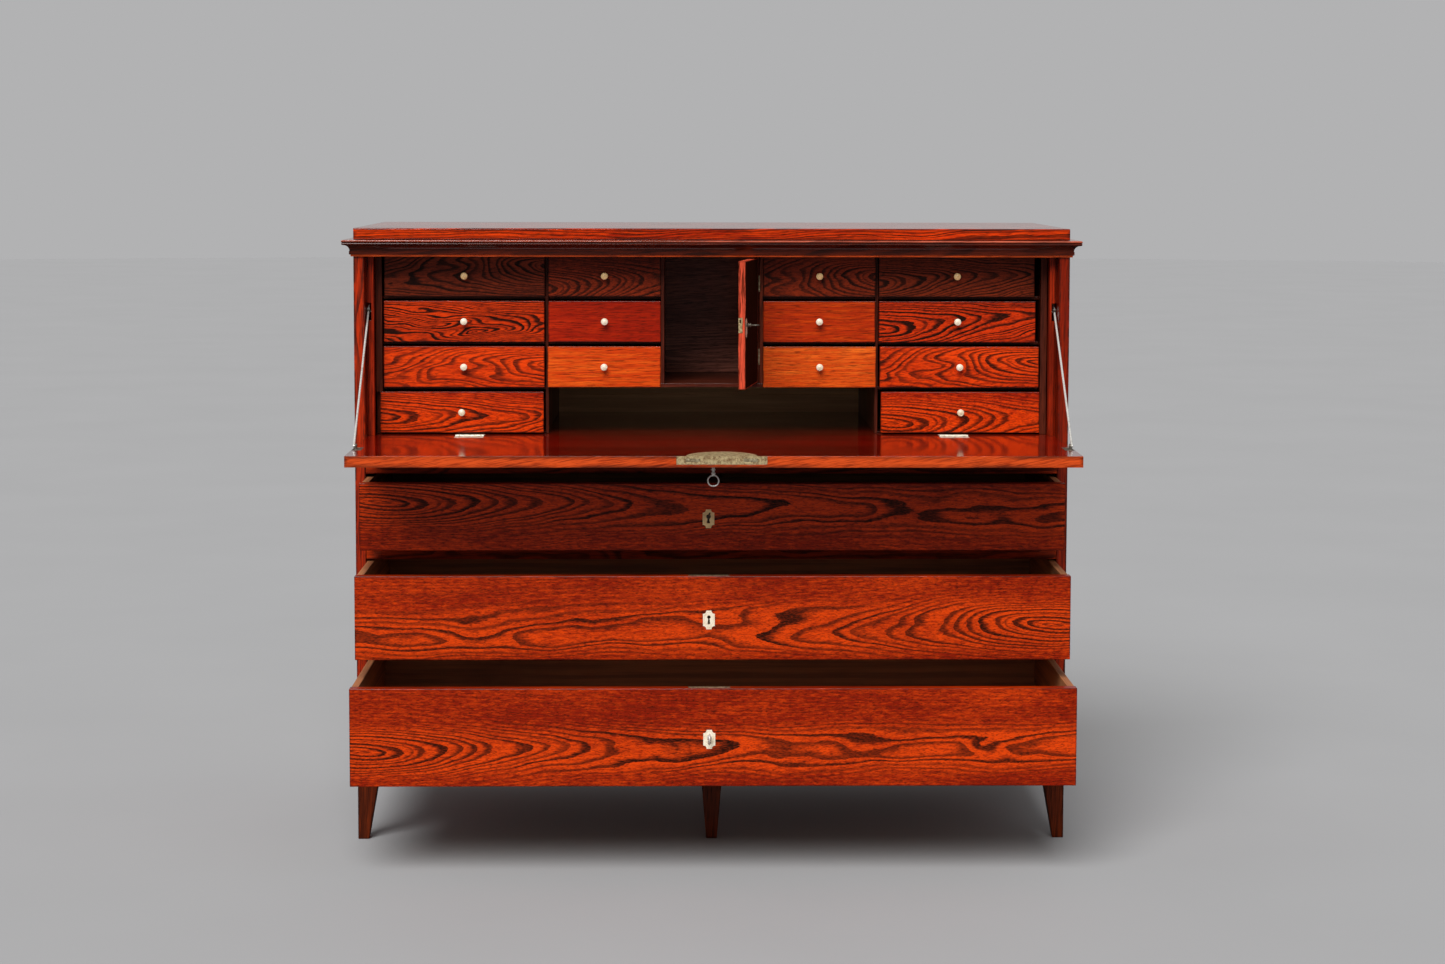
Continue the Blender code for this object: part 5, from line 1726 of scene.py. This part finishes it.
@dataclass
class LongDrawers:
    """Three long drawers with dovetailed boxes, locks, shields and keys."""

    stock: Stock
    front: float = 0.0200
    ease: float = 0.0009
    wall: float = 0.0120
    wall_ease: float = 0.0010
    floor: float = 0.0060
    floor_ease: float = 0.0005
    floor_boards: int = 3
    rise: float = 0.0080
    lock_width: float = 0.070
    lock_thick: float = 0.0100
    lock_foot: float = 0.0215
    well_r: float = 0.0105
    well_deep: float = 0.0075
    edge_plate: float = 0.0020
    edge_width: float = 0.0150
    lock_ease: float = 0.0004
    edge_ease: float = 0.0003
    screw_tall: float = 0.0005
    screw_apart: float = 0.8
    key_out: float = 0.0330
    key_bite: float = 0.0045
    pin_pitch: float = 0.026
    pin_depth: float = 0.0002
    fit: float = 0.0001
    key_turns: Dict[str, float] = field(default_factory=lambda: {"upper": 14.0, "lower": 4.0})
    cuts: Dict[str, Front] = field(default_factory=lambda: {
        # The upper front is darker than the two below: partly its own darker wood, partly painted shade
        # under the open fall
        "upper": Front((-0.57, 0.0, 0.026), (0.17, -0.015), bright=srgb(196, 56, 2),
                       red=srgb(120, 22, 0)),
        "middle": Front((0.575, 0.0, -0.012), (0.20, 0.012), bright=DEEP_BRIGHT, red=DEEP_RED),
        "lower": Front((-0.590, 0.0, -0.023), (0.20, 0.008), bright=DEEP_BRIGHT, red=DEEP_RED),
    })

    def build(self) -> None:
        """Builds the three drawers."""
        for name, cut in self.cuts.items():
            self.drawer(name, cut)

    def drawer(self, name: str, cut: Front) -> None:
        """Builds one drawer.

        Args:
            name: Its level.
            cut: How its front was cut.
        """
        body, node = f"long_drawer_{name}", f"long_front_{name}"
        box, badge = Box.of(node), Box.of(f"long_escutcheon_{name}")
        shield, inner = self.stock.shield, self.front - self.lock_thick
        head = Vector((badge.centre.x, box.lo.y, badge.centre.z + shield.drop))
        place = facing(head, OUTWARDS, DOWN)
        bore = extrusion(shield.keyhole(GAP), Axis.Y, -OVERRUN, inner + OVERRUN)
        pocket = extrusion(shield.outline(self.fit), Axis.Y, -OVERRUN, shield.thick)
        mesh = carved(board(box.lo, box.hi, self.ease),
                      [placed(pocket, place), self.mortise(box, head), placed(bore, place)])
        piece(f"{node}_board", mesh, cut.finish(f"long drawer {name}", box), body,
              (node,))
        # The upper drawer's shield takes the yellower bone: painted shade under the fall
        bone = self.stock.bone_for_shade if name == "upper" else self.stock.bone
        piece(f"long_shield_{name}", placed(shield.shape(), place), bone, body,
              (f"long_escutcheon_{name}",))
        self.lock(name, box, head)
        self.tray(name)
        if name in self.key_turns:
            iron = self.stock.dull if name == "upper" else self.stock.iron
            turn = Matrix.Rotation(math.radians(self.key_turns[name]), 4, "Y")
            key = Key(self.key_out, inner + self.key_bite)
            piece(f"long_key_{name}_wire", placed(key.shape(), place @ turn), iron,
                  f"long_key_body_{name}", (f"long_key_{name}",), smooth=True)

    def mortise(self, box: Box, head: Vector) -> bmesh.types.BMesh:
        """Returns the place that is cut for the lock.

        Args:
            box: The front's box.
            head: The keyhole's head.

        Returns:
            The cutter, with the recess for the plate on the front's edge.
        """
        case, edge = box.hi.y - self.lock_thick, box.hi.y - self.edge_width
        rear, top = box.hi.y + OVERRUN, box.hi.z + OVERRUN
        under, low = box.hi.z - self.edge_plate, head.z - self.lock_foot - 0.0005
        outline = [(case, low), (rear, low), (rear, top), (edge, top), (edge, under), (case, under)]
        half = self.lock_width / 2
        return extrusion(outline, Axis.X, head.x - half, head.x + half)

    def lock(self, name: str, box: Box, head: Vector) -> None:
        """Adds the brass lock behind the front, its plate on the front's edge.

        Args:
            name: The drawer's level.
            box: The front's box.
            head: The keyhole's head.
        """
        half, back, under = self.lock_width / 2 - GAP, box.hi.y - GAP, box.hi.z - self.edge_plate
        left, right = head.x - half, head.x + half
        case = box.hi.y - self.lock_thick
        mesh = board((left, case + GAP, head.z - self.lock_foot), (right, back, under),
                     self.lock_ease)
        block(mesh, (left, box.hi.y - self.edge_width + GAP, under + GAP),
              (right, back, box.hi.z - GAP), self.edge_ease)
        well = bmesh.new()
        rod(well, 0, self.well_deep, self.well_r, (head.x, case - OVERRUN, head.z), (0, 1, 0), 32)
        body = f"long_drawer_{name}"
        piece(f"long_lock_{name}", carved(mesh, [well]), self.stock.brass, body)
        spots = [(head.x + side.sign * half * self.screw_apart, box.hi.y - self.edge_width / 2,
                  box.hi.z - GAP) for side in Side]
        piece(f"long_lock_screws_{name}", self.stock.screws.mesh(
            spots, self.stock.dull, Head_height=self.screw_tall), self.stock.dull, body)

    def tray(self, name: str) -> None:
        """Adds the sides, back and bottom, with dovetail pins at the front corners.

        Args:
            name: The drawer's level.
        """
        node, body = f"long_box_{name}", f"long_drawer_{name}"
        box = Box.of(node)
        lo, hi = box.lo, box.hi
        inner, back = hi.x - self.wall, hi.y - self.wall
        sides = board(lo, (-inner, hi.y, hi.z), self.wall_ease)
        block(sides, (inner, lo.y, lo.z), hi, self.wall_ease)
        finish = Lining(f"softwood, {name} drawer sides", Axis.Y, srgb(186, 118, 70), srgb(116, 66, 38))
        piece(f"long_sides_{name}", sides, finish.material(), body, (node,))
        rest = board((-inner, back, lo.z), (inner, hi.y, hi.z), self.wall_ease)
        wide, low = 2 * inner / self.floor_boards, lo.z + self.rise
        for index in range(self.floor_boards):
            left = -inner + wide * index
            block(rest, (left + GAP, lo.y, low), (left + wide - GAP, back, low + self.floor),
                  self.floor_ease)
        piece(f"long_bottom_{name}", rest, self.stock.bottom, body, (node,))
        piece(f"long_pins_{name}", self.pins(lo, hi), self.stock.pin, body)

    def pins(self, lo: Vector, hi: Vector) -> bmesh.types.BMesh:
        """Sets the dovetail pins into both sides of a drawer's box.

        Args:
            lo: The box's lowest corner.
            hi: Its highest corner.

        Returns:
            All the pins.
        """
        count = int((hi.z - lo.z) / self.pin_pitch)
        pitch = (hi.z - lo.z) / count
        levels = [lo.z + pitch * (step + 0.5) for step in range(count)]
        middle = lo.y + self.wall / 2
        return joined(self.stock.dovetails.mesh(
            [(side.sign * hi.x, middle, level) for level in levels], self.stock.pin,
            (0.0, QUARTER * side.sign, 0.0), Pin_length=self.wall, Pin_depth=self.pin_depth)
            for side in Side)


@dataclass
class Fall:
    """The open fall with its lock, key, hinges, ears and stays."""

    stock: Stock
    ease: float = 0.0010
    fitting_ease: float = 0.0002
    plate_ease: float = 0.0003
    bolt_ease: float = 0.0004
    inner_face: float = 0.002
    rod_r: float = 0.0018
    rod_start: float = 0.0021
    tail: float = 0.0170
    tail_r: float = 0.00108
    eye_r: float = 0.0035
    eye_wire: float = 0.0010
    rivet: Tuple[Pair, ...] = ((0, 0.0021), (0.0006, 0.0021), (0.0010, 0.0012))
    rivet_in: float = 0.00088
    chamfer: float = 0.0003
    collar_r: float = 0.0027
    collar: float = 0.0040
    guide: float = 0.0036
    guide_r: float = 0.0033
    pin_r: float = 0.0014
    pin: Pair = (0.0030, 0.0098)
    key: Key = Key(0.0370, 0.0094, bow=0.0090)
    bolt_apart: float = 0.0475
    bolt_wide: float = 0.0234
    bolt_tall: float = 0.0049
    bolt_long: float = 0.0170
    screw_tall: float = 0.0005
    hinge_screws: Triple = (0.017, 0.012, 0.010)
    hinge_screw_turn: float = 0.4
    ear_screw: float = 0.018
    ear_screw_r: float = 0.0026
    ear_screw_turn: float = 0.9
    body: str = "fall"

    def build(self) -> None:
        """Builds the fall and everything on it."""
        self.panel()
        self.lock()
        for fitting in (self.hinge, self.ear, self.stay):
            for side in Side:
                fitting(side)

    def panel(self) -> None:
        """Dresses the panel, which is polished inside and shows its figure outside."""
        box = Box.of("fall_panel")
        inside = Band(box.hi.z - self.inner_face, SKY, srgb(174, 20, 1), srgb(120, 11, 0))
        finish = Ash("ash, fall", Axis.X, (-0.35, box.centre.y + 0.02, box.lo.z), (0.012, 0.17),
                     0.0048, 0.012, DEEP_BRIGHT, DEEP_RED, gloss=1.0, roughness=0.22, roll=QUARTER,
                     bands=(inside,), edge=srgb(208, 76, 22), rim=box, rim_width=0.005)
        piece("fall_board", refined("fall_panel", self.ease), finish.material(), self.body,
              ("fall_panel",))

    def lock(self) -> None:
        """Dresses the lock, its bolts, its shield and its hanging key."""
        piece("fall_lock_plate", refined("fall_lock", self.plate_ease), self.stock.mottled,
              self.body, ("fall_lock",))
        case = Box.of("fall_lock")
        bolts = bmesh.new()
        for side in Side:
            middle = Vector((case.centre.x + side.sign * self.bolt_apart, case.lo.y, case.centre.z))
            half = Vector((self.bolt_wide / 2, 0, self.bolt_tall / 2))
            block(bolts, middle - half + Vector((0, GAP, 0)),
                  middle + half + Vector((0, self.bolt_long, 0)), self.bolt_ease)
        piece("fall_lock_bolts", bolts, self.stock.brass, self.body)
        place = facing(joint("turn_fall_key"), DOWN, (0, 1, 0))
        piece("fall_shield", placed(self.stock.shield.shape(), place), self.stock.bone, self.body,
              ("fall_escutcheon",))
        turn = Matrix.Rotation(QUARTER, 4, "Y")
        piece("fall_key_wire", placed(self.key.shape(), place @ turn), self.stock.iron,
              "fall_key_body", ("fall_key",), smooth=True)

    def hinge(self, side: Side) -> None:
        """Dresses one butt hinge and adds its screws.

        Args:
            side: Its side of the case.
        """
        hinge = joint("fall_hinge")
        apart, near, further = self.hinge_screws
        for kind, body, sign in (("fixed", "cabinet", 1), ("moving", self.body, -1)):
            node = f"fall_hinge_{kind}_{side.value}"
            piece(f"{node}_leaf", refined(node, self.fitting_ease), self.stock.pale, body,
                  (node,))
            middle = Box.of(node).centre.x
            spots = [(middle + step * apart, hinge.y + sign * (near + further * (step == 0)), hinge.z)
                     for step in (-1, 0, 1)]
            piece(f"{node}_screws", self.stock.screws.mesh(
                spots, self.stock.dull, (0, 0, self.hinge_screw_turn),
                Head_height=self.screw_tall), self.stock.dull, body)

    def ear(self, side: Side) -> None:
        """Dresses one stay ear and adds its screws.

        Args:
            side: Its side of the case.
        """
        node = f"stay_ear_{side.value}"
        piece(f"{node}_plate", refined(node, self.fitting_ease), self.stock.dull, self.body,
              (node,))
        middle, level = Box.of(node).centre, joint("fall_hinge").z
        spots = [(middle.x, middle.y + step * self.ear_screw, level) for step in (-1, 1)]
        heads = self.stock.screws.mesh(spots, self.stock.brass, (0, 0, self.ear_screw_turn),
                                       Head_height=self.screw_tall, Head_radius=self.ear_screw_r)
        piece(f"{node}_screws", heads, self.stock.brass, self.body)

    def stay(self, side: Side) -> None:
        """Builds one sliding rod and its swivelling guide.

        Args:
            side: Its side of the case.
        """
        ear, guide = joint(f"stay_pivot_{side.value}"), joint(f"guide_swivel_{side.value}")
        run = guide - ear
        way, long = run.normalized(), run.length + self.tail
        collar = run.length + self.guide / 2 + GAP * 2
        after = collar + self.collar
        mesh = bmesh.new()
        turned(mesh, [(self.rod_start, self.rod_r), (collar, self.rod_r),
                      (collar + self.chamfer, self.collar_r), (after - self.chamfer, self.collar_r),
                      (after, self.rod_r), (long - 2 * self.chamfer, self.rod_r),
                      (long, self.tail_r)], ear, way, 24)
        hoop(mesh, ear, self.eye_r - self.eye_wire, self.eye_wire, 28)
        for end in (-1, 1):
            turned(mesh, self.rivet, ear + Vector((end * self.rivet_in, 0, 0)), (end, 0, 0), 20)
        piece(f"stay_rod_{side.value}_round", mesh, self.stock.iron, f"stay_{side.value}",
              (f"stay_rod_{side.value}",), smooth=True)
        ring, bore = bmesh.new(), bmesh.new()
        rod(ring, -self.guide / 2, self.guide / 2, self.guide_r, guide, way, 32)
        rod(bore, -self.guide, self.guide, self.rod_r + GAP, guide, way, 32)
        swivel = carved(ring, [bore])
        rod(swivel, *self.pin, self.pin_r, guide, (-side.sign, 0, 0), 20)
        piece(f"stay_guide_{side.value}_swivel", swivel, self.stock.dull, f"guide_{side.value}",
              (f"stay_guide_{side.value}",), smooth=True)


@dataclass
class CupboardDoor:
    """The little door of the niche, standing open."""

    stock: Stock
    ease: float = 0.0006
    plate_ease: float = 0.0003
    fixed_ease: float = 0.00015
    leaf_ease: float = 0.0001
    hinge_long: float = 0.028
    leaf_in: float = 0.00112
    leaf_wide: float = 0.0100
    leaf_thick: float = 0.0007
    knuckle_r: float = 0.0016
    knuckle_share: float = 1 / 6
    key: Key = Key(0.0230, 0.0070, bow=0.0062, bit=0.0)
    body: str = "door"

    @property
    def out(self) -> Vector:
        """Returns the direction that the open door's outer face looks."""
        return -joint("turn_door_key", "axis")

    @property
    def turn(self) -> float:
        """Returns how far the open door is turned about Z."""
        along = self.out.cross(Vector(DOWN))
        return math.atan2(along.y, along.x)

    def build(self) -> None:
        """Builds the door, its lock, shield, key and hinges."""
        # Painted shade: the open door's outer face is stained dark brown, as it faces away from the key
        # light; its edges keep a salmon wood colour
        finish = Ash("ash, cupboard door", Axis.Z, (0.09, -0.02, 0.93), (0.05, 0.03), 0.0045,
                     bright=srgb(52, 24, 15), red=srgb(36, 15, 10), strength=0.5, gloss=0.0,
                     sheen=0.0, edge=srgb(212, 80, 54), edge_axes=(0, 2), rim=self.measured(),
                     rim_width=0.0015, rim_turn=self.turn)
        piece("door_board", refined("door_panel", self.ease), finish.material(), self.body,
              ("door_panel",))
        piece("door_lock_plate", refined("door_lock", self.plate_ease), self.stock.mottled,
              self.body, ("door_lock",))
        place = facing(joint("turn_door_key"), self.out, DOWN)
        piece("door_shield", placed(self.stock.shield.shape(), place), self.stock.bone, self.body,
              ("door_escutcheon",))
        level = Matrix.Rotation(QUARTER, 4, "Y")
        piece("door_key_wire", placed(self.key.shape(), place @ level), self.stock.dull,
              "door_key_body", ("door_key",), smooth=True)
        for height in ("lower", "upper"):
            self.hinge(height)

    def measured(self) -> Box:
        """Measures the open door along its own faces.

        Returns:
            A box of the door's sizes around its middle.
        """
        back = Matrix.Rotation(-self.turn, 3, "Z")
        spots = [back @ vert.co for vert in frame["nodes"]["door_panel"].data.vertices]
        lo, hi = (Vector(pick(spot[axis] for spot in spots) for axis in range(3))
                  for pick in (min, max))
        middle, half = back.inverted() @ ((lo + hi) / 2), (hi - lo) / 2
        return Box(middle - half, middle + half)

    def hinge(self, height: str) -> None:
        """Dresses one fixed leaf and adds the moving one with its knuckle.

        Args:
            height: lower or upper.
        """
        node = f"door_hinge_fixed_{height}"
        piece(f"{node}_leaf", refined(node, self.fixed_ease), self.stock.brass, "cabinet",
              (node,))
        axis, half = joint("door_hinge"), self.hinge_long / 2
        centre = Vector((axis.x, axis.y, Box.of(node).centre.z))
        reach = self.hinge_long * self.knuckle_share
        mesh = bmesh.new()
        rod(mesh, -reach, reach, self.knuckle_r, ORIGIN, (0, 0, 1), 24)
        block(mesh, (self.leaf_in, -self.leaf_thick, -half), (self.leaf_wide, 0, half),
              self.leaf_ease)
        placed(mesh, Matrix.Translation(centre) @ Matrix.Rotation(self.turn, 4, "Z"))
        piece(f"door_knuckle_{height}", mesh, self.stock.brass, self.body, smooth=True)


# Stage

@dataclass
class Studio:
    """A plain pale floor, a soft key light, an even fill and the camera of the photograph."""

    camera_place: Triple = (-0.0618, -4.7685, 1.1936)
    yaw: float = 0.9600
    pitch: float = 4.5859
    roll: float = 0.1160
    focal_pixels: float = 2728.7
    image_width: int = 1445
    shift_pixels: float = -100.0
    sensor: float = 36.0
    floor_radius: float = 30.0
    floor_cells: float = 1.6
    floor_colour: Colour = srgb(163, 163, 164)
    floor_cloud: Colour = srgb(157, 157, 158)
    floor_mirrored: Colour = srgb(36, 35, 34)
    sky_colour: Colour = srgb(178, 178, 179)
    fill: float = 0.36
    behind_camera: float = 0.02
    behind_object: float = 0.40
    between: Pair = (-0.3, 0.7)
    key_height: float = 47.0
    key_side: float = 16.0
    key_softness: float = 40.0
    key_strength: float = 3.75

    def build(self) -> None:
        """Sets up the floor, the world, the key light and the camera."""
        self.floor()
        self.world()
        self.key()
        self.camera()
        bpy.context.scene.view_settings.view_transform = "Standard"

    def floor(self) -> None:
        """Lays the floor. Polished surfaces mirror it darker than the camera sees it: a painted
        reflection.
        """
        mesh = bmesh.new()
        bmesh.ops.create_circle(mesh, cap_ends=True, radius=self.floor_radius, segments=64)
        made = linked(mesh, "floor")
        shade = Shade("floor, pale grey")
        cloud = shade.noise(shade.moved(), self.floor_cells, 4.0)
        colour = shade.blend(cloud, self.floor_colour, self.floor_cloud)
        mirrored = shade.node("ShaderNodeLightPath", {}, {}).outputs["Is Glossy Ray"]
        colour = shade.blend(mirrored, colour, self.floor_mirrored)
        made.data.materials.append(shade.finish({"Base Color": colour, "Roughness": 0.8,
                                                 "Specular IOR Level": 0.2}))

    def world(self) -> None:
        """Sets the even fill, what polished surfaces mirror, and the ground that the camera sees."""
        world = bpy.data.worlds.new("studio")
        bpy.context.scene.world = world
        world.use_nodes = True
        sky = Tree(world.node_tree)
        way = sky.node("ShaderNodeTexCoord", {}, {}).outputs["Generated"]
        depth = sky.parts(way)[1].rise(*self.between)
        mirrored = sky.blend(depth, (self.behind_camera,) * 3, (self.behind_object,) * 3)
        light = self.ground(sky, (self.fill,) * 3)
        paths = sky.node("ShaderNodeLightPath", {}, {})
        for ray, colour in (("Is Glossy Ray", mirrored), ("Is Camera Ray", self.sky_colour)):
            mixed = sky.node("ShaderNodeMixShader", {}, {0: paths.outputs[ray], 1: light,
                                                         2: self.ground(sky, colour)})
            light = mixed.outputs[0]
        sky.feed(sky.data.nodes["World Output"], {0: light})

    def ground(self, sky: Tree, colour: Source) -> bpy.types.NodeSocket:
        """Returns a plain background of one colour."""
        return sky.node("ShaderNodeBackground", {}, {"Color": colour, "Strength": 1.0}).outputs[0]

    def key(self) -> None:
        """Hangs the soft key light high in front, a little to the left."""
        data = bpy.data.lights.new("key light", "SUN")
        data.energy, data.angle = self.key_strength, math.radians(self.key_softness)
        made = bpy.data.objects.new("key light", data)
        made.rotation_euler = (math.radians(90 - self.key_height), 0, math.radians(-self.key_side))
        bpy.context.scene.collection.objects.link(made)

    def camera(self) -> None:
        """Sets the camera where the photograph was taken from."""
        data = bpy.data.cameras.new("camera")
        data.sensor_width = self.sensor
        data.lens = self.focal_pixels / self.image_width * self.sensor
        data.shift_y = self.shift_pixels / self.image_width
        made = bpy.data.objects.new("camera", data)
        turn = (Matrix.Rotation(math.radians(-self.yaw), 4, "Z")
                @ Matrix.Rotation(math.radians(90 - self.pitch), 4, "X")
                @ Matrix.Rotation(math.radians(self.roll), 4, "Z"))
        made.matrix_world = Matrix.Translation(self.camera_place) @ turn
        bpy.context.scene.collection.objects.link(made)
        bpy.context.scene.camera = made


def main() -> None:
    """Builds the secretaire and its stage."""
    logging.basicConfig(level=logging.INFO, format="%(name)s: %(message)s")
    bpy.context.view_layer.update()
    stock = Stock()
    for part in (Carcass(), Gallery(), SmallDrawers(stock), LongDrawers(stock), Fall(stock),
                 CupboardDoor(stock), Studio()):
        LOG.info("building the %s", type(part).__name__)
        part.build()


if __name__ == "__main__":
    main()
